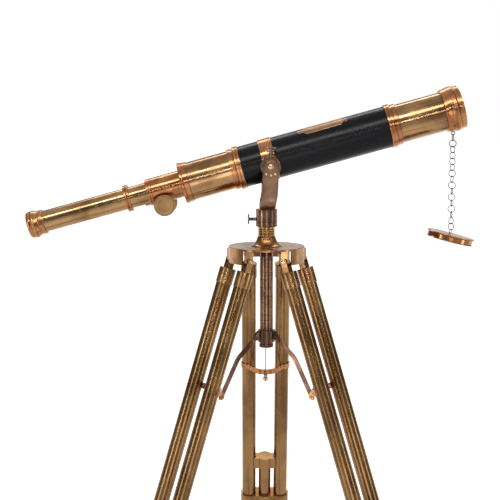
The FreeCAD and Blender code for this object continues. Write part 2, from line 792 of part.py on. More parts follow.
def chain_eye():
    """Ring on a stud under the objective cell; made where it hangs."""
    foot = point_on_tube(EYE_STATION, -EYE_FOOT_DROP)
    ring_centre = foot + V(0, 0, -EYE_SHANK - EYE_RING_R)
    ring = Part.makeTorus(EYE_RING_R, WIRE_R, ring_centre, link_axis(-1))
    stud = rod(1.6, 4.2, foot + V(0, 0, -2.6))
    base = upright(turned([(0, 0), (0, 3.4), (1.4, 3.4), (2.2, 0)]))
    base.rotate(ORIGIN, X_AXIS, 180)
    base.translate(foot + V(0, 0, 0.6))
    inside = on_tube(rod(TUBE_R + 1.0, 14, V(EYE_STATION - 7, 0, 0), X_AXIS))
    eye = stud.fuse([ring, base]).cut([parts["objective_cell"], inside])
    return eye, ring_centre


def build_spyglass():
    keep("main_tube", on_tube(main_tube()))
    sleeve_length = SLEEVE_FRONT - SLEEVE_BACK
    keep("barrel_sleeve", on_tube(pipe(SLEEVE_R, TUBE_R + SEAT, sleeve_length,
                                       V(SLEEVE_BACK, 0, 0), X_AXIS)))
    stack = RING_LENGTH + RING_GROOVE + LOW_RING_LENGTH
    back_ring = ring_stack(SLEEVE_BACK - stack, False)
    front_ring = ring_stack(SLEEVE_FRONT, True)
    keep("tube_rings", on_tube(group([back_ring, front_ring])))
    keep("rear_flange", on_tube(rear_flange()))
    keep("objective_cell", on_tube(objective_cell()))
    keep("objective_lens", on_tube(objective_lens()))
    keep("focus_body", on_tube(focus_body()))
    pinion_at = V(PINION_STATION, 0, -PINION_DROP)
    keep("pinion_housing", on_tube(moved(pinion_housing(), pinion_at)))
    keep("nameplate", on_tube(nameplate()))
    keep("small_screws", on_tube(small_screws()))
    keep("clamp_band", on_tube(clamp_band()))
    keep("pivot_screws", on_trunnion(group(both_sides(pivot_screw()))))

    keep("draw_tube", on_tube(draw_tube()))
    keep("focus_rack", on_tube(rack()))
    keep("eyepiece_collar", on_tube(eyepiece_collar()))
    keep("eyepiece_tube", on_tube(eyepiece_tube()))
    keep("eyecup", on_tube(eyecup()))
    bore = DRAW_R - DRAW_WALL - SEAT
    eye_lens = lens(EYECUP_BACK + EYECUP_LENGTH - 13.5, EYE_LENS_R, 6.0)
    field_lens = lens(EYECUP_BACK + 95.0, bore, 6.0)
    erector = lens(DRAW_FRONT - 8.0, bore, 7.0)
    keep("draw_lenses", on_tube(group([eye_lens, field_lens, erector])))

    keep("pinion_shaft", on_tube(moved(pinion(), pinion_at)))
    knobs = [moved(k, pinion_at) for k in both_sides(knob())]
    keep("focus_knobs", on_tube(group(knobs)))


# ==================================================================== fork
def fork():
    """Strap bent into a U that carries the spyglass between its arms."""
    outer = DRUM_INNER + DRUM_THICK + ARM_THICK
    inner = outer - ARM_THICK
    base = SOCKET_BOTTOM + SOCKET_LENGTH + FREE
    top = PIVOT_RISE + ARM_HEAD_R + 2
    far = 40.0

    def u_shape(half, low, radius):
        lift = radius * (1 - math.sqrt(0.5))
        face = Part.Face(wire_through([
            V(-far, -half, top),
            V(-far, -half, low + radius),
            (V(-far, -half + radius, low), V(-far, -half + lift, low + lift)),
            V(-far, half - radius, low),
            (V(-far, half, low + radius), V(-far, half - lift, low + lift)),
            V(-far, half, top),
        ]))
        return face.extrude(V(2 * far, 0, 0))

    strap = u_shape(outer, base, FORK_BEND_R).cut(u_shape(inner, base + ARM_THICK, FORK_BEND_R - ARM_THICK))
    mid_height = PIVOT_RISE - 28.0
    mid_x = FORK_LEAN * 0.93
    knee_height = PIVOT_RISE - ARM_KNEE_DROP
    side = Part.Face(wire_through([
        V(-ARM_FOOT_HALF, -far * 2, base - 1),
        V(ARM_FOOT_HALF, -far * 2, base - 1),
        V(ARM_KNEE_LEAN + ARM_KNEE_HALF, -far * 2, knee_height),
        V(mid_x + ARM_MID_HALF, -far * 2, mid_height),
        V(FORK_LEAN + ARM_HEAD_R, -far * 2, PIVOT_RISE),
        (V(FORK_LEAN - ARM_HEAD_R, -far * 2, PIVOT_RISE), V(FORK_LEAN, -far * 2, PIVOT_RISE + ARM_HEAD_R)),
        V(mid_x - ARM_MID_HALF, -far * 2, mid_height),
        V(ARM_KNEE_LEAN - ARM_KNEE_HALF, -far * 2, knee_height),
    ])).extrude(V(0, far * 4, 0))
    body = strap.common(side)
    spindle = rod(SPINDLE_R, SPINDLE_LENGTH + 1, V(0, 0, base - SPINDLE_LENGTH))
    pivots = rod(PIVOT_PIN_R + RUN, 4 * far, V(FORK_LEAN, -2 * far, PIVOT_RISE), Y_AXIS)
    return body.fuse(spindle).cut([pivots] + arm_screw_holes(1.5)).removeSplitter()


def arm_screw_places():
    """The three small screws in an arc under each pivot."""
    for degrees in (-31.0, 0.0, 31.0):
        angle = math.radians(degrees)
        yield V(FORK_LEAN + ARM_SCREW_CIRCLE * math.sin(angle), 0,
                PIVOT_RISE - ARM_SCREW_CIRCLE * math.cos(angle))


def arm_screw_holes(radius):
    reach = 2 * (DRUM_INNER + DRUM_THICK + ARM_THICK)
    return [rod(radius, 2 * reach, p + V(0, -reach, 0), Y_AXIS) for p in arm_screw_places()]


def drums():
    """Round blocks inside the arms that the pivot screws run in."""
    drum = turned_by(turned([
        (DRUM_INNER, PIVOT_PIN_R + RUN),
        (DRUM_INNER, DRUM_R - 1.0),
        (DRUM_INNER + 1.0, DRUM_R),
        (DRUM_INNER + DRUM_THICK - 1.0, DRUM_R),
        (DRUM_INNER + DRUM_THICK, DRUM_R - 1.0),
        (DRUM_INNER + DRUM_THICK, PIVOT_PIN_R + RUN),
    ]), Z_AXIS, 90)
    drum.translate(V(FORK_LEAN, 0, PIVOT_RISE))
    far_drum, near_drum = both_sides(drum)
    middle = -(DRUM_INNER + DRUM_THICK / 2)
    lock_hole = rod(WING_SHAFT_R + RUN, DRUM_R + 2, V(FORK_LEAN, middle, PIVOT_RISE))
    holes = arm_screw_holes(1.5)
    return group([far_drum.cut(holes), near_drum.cut([lock_hole] + holes)])


def arm_screws():
    screws = []
    face_y = DRUM_INNER + DRUM_THICK + ARM_THICK
    for place in arm_screw_places():
        screw = rod(1.5 - SEAT, ARM_THICK + 6, V(0, 0, -ARM_THICK - 6)).fuse(screw_head(ARM_SCREW_R, 1.6))
        screw.rotate(ORIGIN, X_AXIS, -90)
        screw.translate(place + V(0, face_y, 0))
        screws += both_sides(screw)
    return group(screws)


def build_fork():
    keep("fork", on_hub(fork()))
    keep("fork_drums", on_hub(drums()))
    keep("arm_screws", on_hub(arm_screws()))
    shaft = DRUM_R - PIVOT_PIN_R - 0.4
    tilt_at = V(FORK_LEAN, -(DRUM_INNER + DRUM_THICK / 2), PIVOT_RISE + DRUM_R)
    tilt_screw = moved(wing_screw(15.5, shaft), tilt_at)
    keep("tilt_lock_screw", on_hub(tilt_screw))
    shaft = SOCKET_R - SPINDLE_R - 0.4
    pan_screw = wing_screw(14.0, shaft)
    pan_screw.rotate(ORIGIN, Y_AXIS, -90)
    pan_screw.translate(V(-SOCKET_R - 0.05, 0, SOCKET_BOTTOM + SOCKET_LENGTH * 0.42))
    keep("pan_lock_screw", on_hub(pan_screw))


# ===================================================================== hub
def at_hinges(shape):
    """Copies of a piece at the six hinge places, radial direction along X."""
    copies = []
    for azimuth in LEG_AZIMUTHS.values():
        for side in (-1, 1):
            copy = moved(shape, V(HINGE_R, side * PAIR_HALF, 0))
            copies.append(turned_by(copy, Z_AXIS, azimuth))
    return copies


def hub_plate():
    """Round plate with three curved skirts and six hinge lugs."""
    edge = 0.8
    plate = upright(turned([
        (-PLATE_THICK, COLUMN_R - 6),
        (-PLATE_THICK, PLATE_R),
        (-edge, PLATE_R),
        (0, PLATE_R - edge),
        (0, COLUMN_R - 6),
    ]))
    skirt = pipe(PLATE_R, PLATE_R - SKIRT_THICK, SKIRT_HEIGHT - PLATE_THICK + 1, V(0, 0, -SKIRT_HEIGHT))
    wide = PLATE_R + 10
    half = math.radians(SKIRT_HALF_ANGLE)
    sector = Part.Face(wire_through([
        V(0, 0, -SKIRT_HEIGHT),
        V(wide, -wide * math.tan(half), -SKIRT_HEIGHT),
        V(wide, wide * math.tan(half), -SKIRT_HEIGHT),
    ])).extrude(V(0, 0, SKIRT_HEIGHT))
    arc = skirt.common(sector)
    skirts = [turned_by(arc, Z_AXIS, azimuth) for azimuth in LEG_AZIMUTHS.values()]
    pin = V(0, 0, -HINGE_DROP)
    lug = plate_between(V(0, 0, -LUG_R - 1), LUG_R, pin, LUG_R, LUG_THICK)
    lug = lug.common(block((-20, -20, -60), (20, 20, -PLATE_THICK + 0.5)))
    lug = lug.fuse(block((-LUG_R, -LUG_THICK / 2, -LUG_R - 2), (LUG_R, LUG_THICK / 2, -PLATE_THICK + 0.5)))
    lug = lug.cut(rod(HINGE_PIN_R + SEAT, 40, pin - V(0, 20, 0), Y_AXIS))
    return plate.fuse(skirts + at_hinges(lug)).removeSplitter()


def hinge_bolts():
    """Six bolts that each leg tube's fork turns on."""
    reach = LUG_THICK / 2 + EAR_THICK + 2 * FREE
    pin = rod(HINGE_PIN_R, 2 * reach + 1, V(0, -reach - 0.5, -HINGE_DROP), Y_AXIS)
    head = turned_by(screw_head(4.6, 2.6), X_AXIS, -90)
    head.translate(V(0, reach, -HINGE_DROP))
    return group(at_hinges(pin.fuse(both_sides(head))))


def hub_neck():
    """Flared foot and grooved neck between the plate and the socket."""
    groove = 0.9
    outline = [
        (0, 0),
        (0, NECK_BASE_R),
        (1.6, NECK_BASE_R),
        (2.2, NECK_BASE_R - 2.4),
        (NECK_FLARE - 3.0, NECK_R + 2.0, NECK_FLARE * 0.42, NECK_R + 5.6),
        (NECK_FLARE, NECK_R),
    ]
    land = (SOCKET_BOTTOM - NECK_FLARE) / 4
    for i in (1, 2, 3):
        at = NECK_FLARE + land * i
        outline += [(at - 1, NECK_R), (at, NECK_R - groove), (at + 1, NECK_R)]
    outline += [(SOCKET_BOTTOM, NECK_R), (SOCKET_BOTTOM, 0)]
    return upright(turned(outline))


def socket():
    """Round socket that the fork's spindle turns in."""
    top = SOCKET_BOTTOM + SOCKET_LENGTH
    bore_bottom = top + FREE - SPINDLE_LENGTH - 1.0
    body = upright(turned([
        (SOCKET_BOTTOM, 0),
        (SOCKET_BOTTOM, SOCKET_R - 0.8),
        (SOCKET_BOTTOM + 0.8, SOCKET_R),
        (top - 0.8, SOCKET_R),
        (top, SOCKET_R - 0.8),
        (top, SPINDLE_R + RUN),
        (bore_bottom, SPINDLE_R + RUN),
        (bore_bottom, 0),
    ]))
    hole = rod(WING_SHAFT_R + RUN, SOCKET_R + 2, V(0, 0, SOCKET_BOTTOM + SOCKET_LENGTH * 0.42), V(-1, 0, 0))
    return body.cut(hole)


def column():
    """Hollow centre column with a ring and a closed end at the bottom."""
    top = -PLATE_THICK
    bottom = top - COLUMN_LENGTH
    return upright(turned([
        (top, COLUMN_R - COLUMN_WALL),
        (top, COLUMN_R),
        (bottom + 7.0, COLUMN_R),
        (bottom + 6.0, COLUMN_RING_R),
        (bottom + 1.0, COLUMN_RING_R),
        (bottom, COLUMN_R),
        (bottom, 0),
        (bottom + 4.0, 0),
        (bottom + 4.0, COLUMN_R - COLUMN_WALL),
    ]))


def build_hub():
    keep("hub_plate", on_hub(hub_plate()))
    keep("hub_neck", on_hub(hub_neck()))
    keep("socket", on_hub(socket()))
    keep("centre_column", on_hub(column()))
    keep("hinge_bolts", on_hub(hinge_bolts()))


# ==================================================================== legs
def leg_tubes():
    top = FERRULE_TOP + FERRULE_CAP
    tube = pipe(LEG_TUBE_R, LEG_TUBE_R - LEG_WALL, UPPER_LENGTH - top, V(0, PAIR_HALF, -UPPER_LENGTH))
    return group(both_sides(tube))


def ferrule():
    """Cap on a tube's top end, with a fork that hangs on the hub's lug."""
    bottom = -FERRULE_TOP - FERRULE_LENGTH
    edge = 0.8
    cap = upright(turned([
        (bottom, LEG_TUBE_R + SEAT),
        (bottom, FERRULE_R - edge),
        (bottom + edge, FERRULE_R),
        (-FERRULE_TOP - 1.4, FERRULE_R),
        (-FERRULE_TOP, FERRULE_R - 1.4),
        (-FERRULE_TOP, 0),
        (-FERRULE_TOP - FERRULE_CAP, 0),
        (-FERRULE_TOP - FERRULE_CAP, LEG_TUBE_R + SEAT),
    ]))
    gap = LUG_THICK / 2 + FREE
    width = 2 * (gap + EAR_THICK)
    fork = plate_between(ORIGIN, EAR_R, V(0, 0, -FERRULE_TOP - 1), EAR_R, width)
    fork = fork.common(block((-20, -20, -FERRULE_TOP - 0.5), (20, 20, 20)))
    slot = block((-20, -gap, -LUG_R - 3.0), (20, gap, 20))
    bore = rod(HINGE_PIN_R + RUN, 40, V(0, -20, 0), Y_AXIS)
    return cap.fuse(fork.cut([slot, bore])).removeSplitter()


def ferrules():
    return group(both_sides(moved(ferrule(), V(0, PAIR_HALF, 0))))


def cross_band():
    """Strap across the pair that bulges inward, with the brace's fork."""
    low = -BAND_DROP - BAND_HEIGHT / 2
    saddle_in = LEG_TUBE_R + SEAT
    saddle = pipe(saddle_in + STRAP_THICK, saddle_in, BAND_HEIGHT, V(0, 0, low))
    window = turned_by(block((-40, 0, low), (0, 40, low + BAND_HEIGHT)), Z_AXIS, 8)
    window = window.common(turned_by(block((-40, -40, low), (0, 40, low + BAND_HEIGHT)), Z_AXIS, -28))
    pads = both_sides(moved(saddle.common(window), V(0, PAIR_HALF, 0)))
    half = PAIR_HALF - 1.5
    rise = BAND_BULGE - saddle_in
    bow_r = (half ** 2 + rise ** 2) / (2 * rise)
    centre = V(bow_r - BAND_BULGE, 0, low)
    bow = pipe(bow_r + STRAP_THICK / 2, bow_r - STRAP_THICK / 2, BAND_HEIGHT, centre)
    bow = bow.common(block((-BAND_BULGE - 5, -half, low), (-saddle_in, half, low + BAND_HEIGHT)))
    gap = BRACE_THICK / 2 + FREE
    width = 2 * (gap + FORK_EAR_THICK)
    pivot = V(-BRACE_PIVOT_INSET, 0, -BRACE_PIVOT_DROP)
    root = V(-BAND_BULGE - 1.0, 0, -BAND_DROP - 0.5)
    fork = plate_between(root, 5.0, pivot, FORK_EAR_R, width)
    fork = fork.cut(rod(bow_r, 60, centre - V(0, 0, 30)))
    slot = block((-80, -gap, -BRACE_PIVOT_DROP - 40), (-BAND_BULGE - STRAP_THICK / 2, gap, -BAND_DROP + 40))
    bore = rod(BRACE_PIN_R + SEAT, 40, pivot - V(0, 20, 0), Y_AXIS)
    tubes = both_sides(rod(saddle_in, BAND_HEIGHT + 20, V(0, PAIR_HALF, low - 10)))
    strap = pads[0].fuse([pads[1], bow, fork]).cut([slot, bore] + tubes).removeSplitter()
    return group([strap, brace_bolt(pivot, width / 2)] + band_screws())


def brace_bolt(pivot, half_width):
    reach = half_width + 0.05
    pin = rod(BRACE_PIN_R, 2 * reach + 1, pivot - V(0, reach + 0.5, 0), Y_AXIS)
    head = turned_by(screw_head(3.5, 2.2), X_AXIS, -90)
    head.translate(V(0, reach, 0))
    heads = [moved(h, V(pivot.x, 0, pivot.z)) for h in both_sides(head)]
    return pin.fuse(heads)


def band_screws():
    face = LEG_TUBE_R + SEAT + STRAP_THICK
    head = turned_by(screw_head(3.0, 1.8), Y_AXIS, -90)
    head.translate(V(-face, 0, -BAND_DROP))
    out = []
    for side in (-1, 1):
        turned_head = turned_by(head, Z_AXIS, -side * 14)
        out.append(moved(turned_head, V(0, side * PAIR_HALF, 0)))
    return out


def leg_clamp():
    """Block that joins the pair's lower ends and guides the lower tube."""
    bottom = -UPPER_LENGTH - 8.0
    ends = both_sides(rod(CLAMP_R, CLAMP_HEIGHT, V(0, PAIR_HALF, bottom)))
    bridge = block((-CLAMP_HALF_DEPTH, -PAIR_HALF, bottom),
                   (CLAMP_HALF_DEPTH, PAIR_HALF, bottom + CLAMP_HEIGHT))
    middle = rod(CLAMP_R + 1.5, CLAMP_HEIGHT, V(0, 0, bottom))
    sockets = both_sides(rod(LEG_TUBE_R + SEAT, CLAMP_HEIGHT, V(0, PAIR_HALF, -UPPER_LENGTH)))
    bore = rod(SLIDER_R + RUN, CLAMP_HEIGHT + 2, V(0, 0, bottom - 1))
    screw_hole = rod(WING_SHAFT_R + RUN, 40, V(0, 0, bottom + CLAMP_HEIGHT / 2), X_AXIS)
    body = bridge.fuse(ends + [middle])
    return body.cut(sockets + [bore, screw_hole]).removeSplitter()


def leg_lock_screw():
    face = CLAMP_R + 1.5
    shaft = face - SLIDER_R - 0.4
    screw = turned_by(wing_screw(12.0, shaft), Y_AXIS, 90)
    return moved(screw, V(face + 0.05, 0, -UPPER_LENGTH - 8.0 + CLAMP_HEIGHT / 2))


def leg_slider():
    """Lower tube, and the shoe that steers its top between the pair."""
    end = LEG_LENGTH - FOOT_SOLE - SLIDER_R * math.tan(math.radians(SPLAY))
    tube = pipe(SLIDER_R, SLIDER_R - SLIDER_WALL, end - SLIDER_TOP, V(0, 0, -end))
    shoe = block((-SHOE_HALF_DEPTH, -PAIR_HALF, 0), (SHOE_HALF_DEPTH, PAIR_HALF, SHOE_LENGTH))
    beside = both_sides(rod(LEG_TUBE_R + FREE, SHOE_LENGTH + 2, V(0, PAIR_HALF, -1)))
    tube_seat = rod(SLIDER_R + SEAT, SHOE_LENGTH - 5, V(0, 0, -1))
    collar = rod(SLIDER_R + 3.5, SHOE_LENGTH)
    shoe = shoe.fuse(collar).cut(beside + [tube_seat])
    return group([tube, moved(shoe, V(0, 0, -SLIDER_TOP - SHOE_LENGTH + 6.0))])


def leg_foot(azimuth):
    """Rubber tip on the lower tube, cut flat where it stands on the floor."""
    end = LEG_LENGTH - FOOT_SOLE - SLIDER_R * math.tan(math.radians(SPLAY))
    top = end - FOOT_LENGTH + 20.0
    tip = upright(turned([
        (-top, SLIDER_R + SEAT),
        (-top, SLIDER_R + 2.2),
        (-top - 2.0, SLIDER_R + 2.8),
        (-end + 6.0, FOOT_R),
        (-LEG_LENGTH - 12.0, FOOT_R + 1.0),
        (-LEG_LENGTH - 12.0, 0),
        (-end - 0.05, 0),
        (-end - 0.05, SLIDER_R + SEAT),
    ]))
    tip = on_leg(tip, azimuth)
    floor = Part.makeBox(4000, 4000, 200, V(-2000, -2000, -200))
    return tip.cut(floor)


def build_leg(name, azimuth):
    prefix = name + "_leg_"
    keep(prefix + "tubes", on_leg(leg_tubes(), azimuth))
    keep(prefix + "ferrules", on_leg(ferrules(), azimuth))
    keep(prefix + "band", on_leg(cross_band(), azimuth))
    keep(prefix + "clamp", on_leg(leg_clamp(), azimuth))
    keep(prefix + "slider", on_leg(leg_slider(), azimuth))
    keep(prefix + "foot", leg_foot(azimuth))
    keep(prefix + "lock_screw", on_leg(leg_lock_screw(), azimuth))


# ======================================================= spider and braces
def outer_pivot():
    """The brace's outer pivot in the leg's own radial plane (r, z)."""
    angle = math.radians(SPLAY)
    out = HINGE_R + BRACE_PIVOT_DROP * math.sin(angle) - BRACE_PIVOT_INSET * math.cos(angle)
    down = HINGE_DROP + BRACE_PIVOT_DROP * math.cos(angle) + BRACE_PIVOT_INSET * math.sin(angle)
    return V(out, 0, -down)


def spider():
    """Collar that slides on the column, with three forks and their pins."""
    low = -SPIDER_DROP - 10.0
    ring = pipe(SPIDER_R, COLUMN_R + RUN, SPIDER_HEIGHT, V(0, 0, low))
    gap = BRACE_THICK / 2 + FREE
    width = 2 * (gap + FORK_EAR_THICK)
    pin_at = V(SPIDER_PIN_CIRCLE, 0, -SPIDER_DROP)
    fork = plate_between(V(SPIDER_R - 1.5, 0, -SPIDER_DROP + 7.0), 8.5, pin_at, FORK_EAR_R, width)
    bore = rod(BRACE_PIN_R + SEAT, 40, pin_at - V(0, 20, 0), Y_AXIS)
    slot = block((SPIDER_R + 0.2, -gap, -SPIDER_DROP - 30), (60, gap, -SPIDER_DROP + 30))
    inside = rod(COLUMN_R + RUN, 80, V(0, 0, -SPIDER_DROP - 40))
    fork = fork.cut([bore, slot, inside])
    forks = [turned_by(fork, Z_AXIS, a) for a in LEG_AZIMUTHS.values()]
    pins = [turned_by(brace_bolt(pin_at, width / 2), Z_AXIS, a) for a in LEG_AZIMUTHS.values()]
    return group([ring.fuse(forks).removeSplitter()] + pins)


def strip_along(a, b, c, half, bend_r, thick, a_over, c_over):
    """A flat strip in the XZ plane from a to c that bends at b."""
    first = (b - a).normalize()
    last = (c - b).normalize()
    turn = math.acos(first.dot(last))
    left = V(-first.z, 0, first.x)
    side = 1.0 if left.dot(last) > 0 else -1.0
    inward_first = left * side
    inward_last = V(-last.z, 0, last.x) * side
    tangent = bend_r * math.tan(turn / 2)
    centre = b - first * tangent + inward_first * bend_r
    toward_bend = (b - centre).normalize()
    start = a - first * a_over
    end = c + last * c_over

    def rail(offset):
        radius = bend_r - offset
        return (start + inward_first * offset,
                b - first * tangent + inward_first * offset,
                centre + toward_bend * radius,
                b + last * tangent + inward_last * offset,
                end + inward_last * offset)

    inner = rail(half)
    outer = rail(-half)
    face = Part.Face(wire_through([
        outer[0], outer[1], (outer[3], outer[2]), outer[4],
        (inner[4], end + last * half), inner[3], (inner[1], inner[2]), inner[0],
        (outer[0], start - first * half),
    ]))
    face.translate(V(0, -thick / 2, 0))
    return face.extrude(V(0, thick, 0))


def brace():
    """Bent flat strip, its outer hole a slot along the line of its pins."""
    inner = V(SPIDER_PIN_CIRCLE, 0, -SPIDER_DROP)
    elbow = inner + V(BRACE_ELBOW_OUT, 0, -BRACE_ELBOW_DOWN)
    outer = outer_pivot()
    strip = strip_along(inner, elbow, outer, BRACE_HALF_WIDTH, BRACE_BEND_R, BRACE_THICK, 0.0, 3.0)
    along = (outer - inner).normalize()
    slot_r = BRACE_PIN_R + BRACE_SLOT_SIDE
    slot = plate_between(outer - along * BRACE_SLOT, slot_r, outer + along * BRACE_SLOT, slot_r, 20)
    hole = rod(BRACE_PIN_R + RUN, 20, inner - V(0, 10, 0), Y_AXIS)
    return strip.cut([slot, hole])


def build_braces():
    keep("spider", on_hub(spider()))
    for name, azimuth in LEG_AZIMUTHS.items():
        keep(name + "_brace", on_hub(turned_by(brace(), Z_AXIS, azimuth)))


# ==================================================== chain and dust cap
def chain_link(top_wire, index):
    """One round link hanging from the wire centre above it."""
    centre = top_wire + V(0, 0, -LINK_R + 2 * WIRE_R + LINK_GAP)
    return Part.makeTorus(LINK_R, WIRE_R, centre, link_axis(index))


def dust_cap():
    """Cap for the objective's rim, hung from a wire at the origin.

    Its ring is a little to the left of its middle, so it hangs right side down.
    """
    skirt_r = CELL_RIM_R + CAP_CLEARANCE
    outer_r = CAP_OUTER_R
    ring_z = 2 * WIRE_R + LINK_GAP - CAP_RING_R
    top = ring_z - CAP_RING_R - CAP_STUD_R
    body = upright(turned([
        (top, 0),
        (top, CAP_FLANGE_R - CAP_EDGE),
        (top - CAP_EDGE, CAP_FLANGE_R),
        (top - CAP_FLANGE_THICK, CAP_FLANGE_R - CAP_EDGE),
        (top - CAP_FLANGE_THICK - CAP_EDGE, outer_r),
        (top - CAP_DEPTH + CAP_FLANGE_THICK, outer_r),
        (top - CAP_DEPTH + CAP_EDGE, CAP_LIP_R),
        (top - CAP_DEPTH, CAP_LIP_R - CAP_EDGE),
        (top - CAP_DEPTH, skirt_r),
        (top - CAP_WALL, skirt_r),
        (top - CAP_WALL, 0),
    ]))
    body = moved(body, V(CAP_STUD_OFFSET, 0, 0))
    stud = rod(CAP_STUD_R, 2.6, V(0, 0, top - 1.0))
    ring = Part.makeTorus(CAP_RING_R, WIRE_R, V(0, 0, ring_z), link_axis(len(CHAIN_TWIST)))
    return body.fuse([stud, ring])


def build_chain():
    eye, ring_centre = chain_eye()
    keep("chain_eye", eye)
    wire = ring_centre - V(0, 0, EYE_RING_R)
    index = 0
    for name, count in LINK_COUNTS.items():
        links = []
        for _ in range(count):
            links.append(chain_link(wire, index))
            wire = wire - V(0, 0, LINK_PITCH)
            index += 1
        keep(name, group(links))
    keep("dust_cap", moved(turned_by(dust_cap(), Y_AXIS, CAP_TILT), wire))


# =================================================================== build
build_spyglass()
build_fork()
build_hub()
for leg_name, leg_azimuth in LEG_AZIMUTHS.items():
    build_leg(leg_name, leg_azimuth)
build_braces()
build_chain()

os.makedirs("parts", exist_ok=True)
for node, shape in parts.items():
    shape.exportStep("parts/" + node + ".step")
    solids = shape.Solids
    volume = sum(s.Volume for s in solids) / 1000
    print(f"{node:24s} solids {len(solids):2d}  volume {volume:8.2f} cm3  valid {shape.isValid()}")
print(len(parts), "nodes")
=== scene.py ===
# %% [markdown]
# # A brass spyglass on a tripod
# The CAD model gives every piece its place, its size and the body that it moves with. This lesson
# gives the instrument its looks: smooth turned surfaces, soft edges, old brass and studio light.
# We start by loading the CAD frame.

# %% The frame
import json
import math

import bmesh
import bpy
import numpy as np
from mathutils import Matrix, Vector


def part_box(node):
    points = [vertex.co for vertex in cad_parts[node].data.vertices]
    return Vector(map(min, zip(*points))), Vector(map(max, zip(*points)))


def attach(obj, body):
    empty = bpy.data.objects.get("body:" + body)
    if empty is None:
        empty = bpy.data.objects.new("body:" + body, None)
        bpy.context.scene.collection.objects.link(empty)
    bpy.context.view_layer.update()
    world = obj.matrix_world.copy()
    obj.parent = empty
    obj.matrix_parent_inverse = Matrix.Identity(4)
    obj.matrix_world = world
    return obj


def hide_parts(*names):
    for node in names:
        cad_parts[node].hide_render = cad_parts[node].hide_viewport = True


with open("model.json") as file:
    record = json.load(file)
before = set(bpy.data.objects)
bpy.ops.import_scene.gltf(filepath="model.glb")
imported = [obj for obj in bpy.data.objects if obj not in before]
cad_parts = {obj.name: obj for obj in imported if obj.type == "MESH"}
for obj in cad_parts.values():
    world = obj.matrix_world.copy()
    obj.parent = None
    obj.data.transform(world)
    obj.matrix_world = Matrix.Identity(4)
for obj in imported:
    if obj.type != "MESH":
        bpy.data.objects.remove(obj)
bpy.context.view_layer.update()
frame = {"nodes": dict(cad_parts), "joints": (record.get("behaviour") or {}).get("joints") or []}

# %% [markdown]
# ## Where things are
# The spyglass is tilted and the legs are splayed, so each has its own axes. The joints know them:
# the tube tilts about one point, the draw slides along the tube, and each leg turns on its pin.
# We work in millimetres along those axes, and turn them into metres at the last step.

# %% Axes of the tube, the hub and the legs
MM = 0.001
JOINTS = {joint["name"]: joint for joint in frame["joints"]}
ACROSS = np.array([0.0, 1.0, 0.0])
UPWARD = np.array([0.0, 0.0, 1.0])
LEGS = ("back", "left", "right")


def joint_place(name):
    """Where a joint is, in metres."""
    return np.array(JOINTS[name]["pos_m"], float)


def joint_axis(name):
    """The direction of a joint's axis, of length one."""
    return np.array(JOINTS[name]["axis"], float)


tilt_axis_at = joint_place("tube_tilt")
sight = -joint_axis("focus_slide")
above = np.cross(sight, ACROSS)
TUBE_RISE = 13.0
TUBE = (tilt_axis_at + TUBE_RISE * MM * above, sight, above)
hub_top = float(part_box("hub_neck")[0].z)
HUB = (np.array([0.0, 0.0, hub_top]), UPWARD, np.array([1.0, 0.0, 0.0]))
LEG = {}
for leg in LEGS:
    up_leg = joint_axis(leg + "_leg_slide")
    LEG[leg] = (joint_place(leg + "_leg_fold"), up_leg, np.cross(joint_axis(leg + "_leg_fold"), up_leg))
print("hub top", round(hub_top, 4), "tube axis", sight.round(4))

# %% [markdown]
# ## Sizes that pieces share
# A ring and the tube inside it meet at one radius. We write each such radius once, in
# millimetres, with the small fit that keeps two surfaces from lying in each other.

# %% Shared sizes in millimetres
FIT = 0.05
TUBE_R, COVER_R, DRAW_R, LEG_R = 42.3, 45.2, 23.65, 16.75
ON_TUBE, ON_COVER, ON_DRAW = TUBE_R + FIT, COVER_R + FIT, DRAW_R + FIT
DRAW_BORE_R = 22.2
COVER_BACK, COVER_FRONT = -60.4, 267.4
DRAW_JOIN = -319.0
WIRE_R, LINK_R, LINK_PITCH = 0.8, 7.45, 13.0
EYE_RING_R, CAP_RING_R = 3.6, 4.4
print("bores of what sits on the tube, the covering and the draw:", ON_TUBE, ON_COVER, ON_DRAW)

# %% [markdown]
# ## Surfaces from two numbers
# Nearly every piece here was made on a lathe or bent from strip. Both are functions of two numbers:
# how far along, and how far round. Blender has Spin and Screw for this, but a grid of points worked
# out with numpy says the formula plainly and gives every vertex its wear and its UV in one go.
# A grid meets itself at seams and shrinks to a point at poles, so equal points are merged.

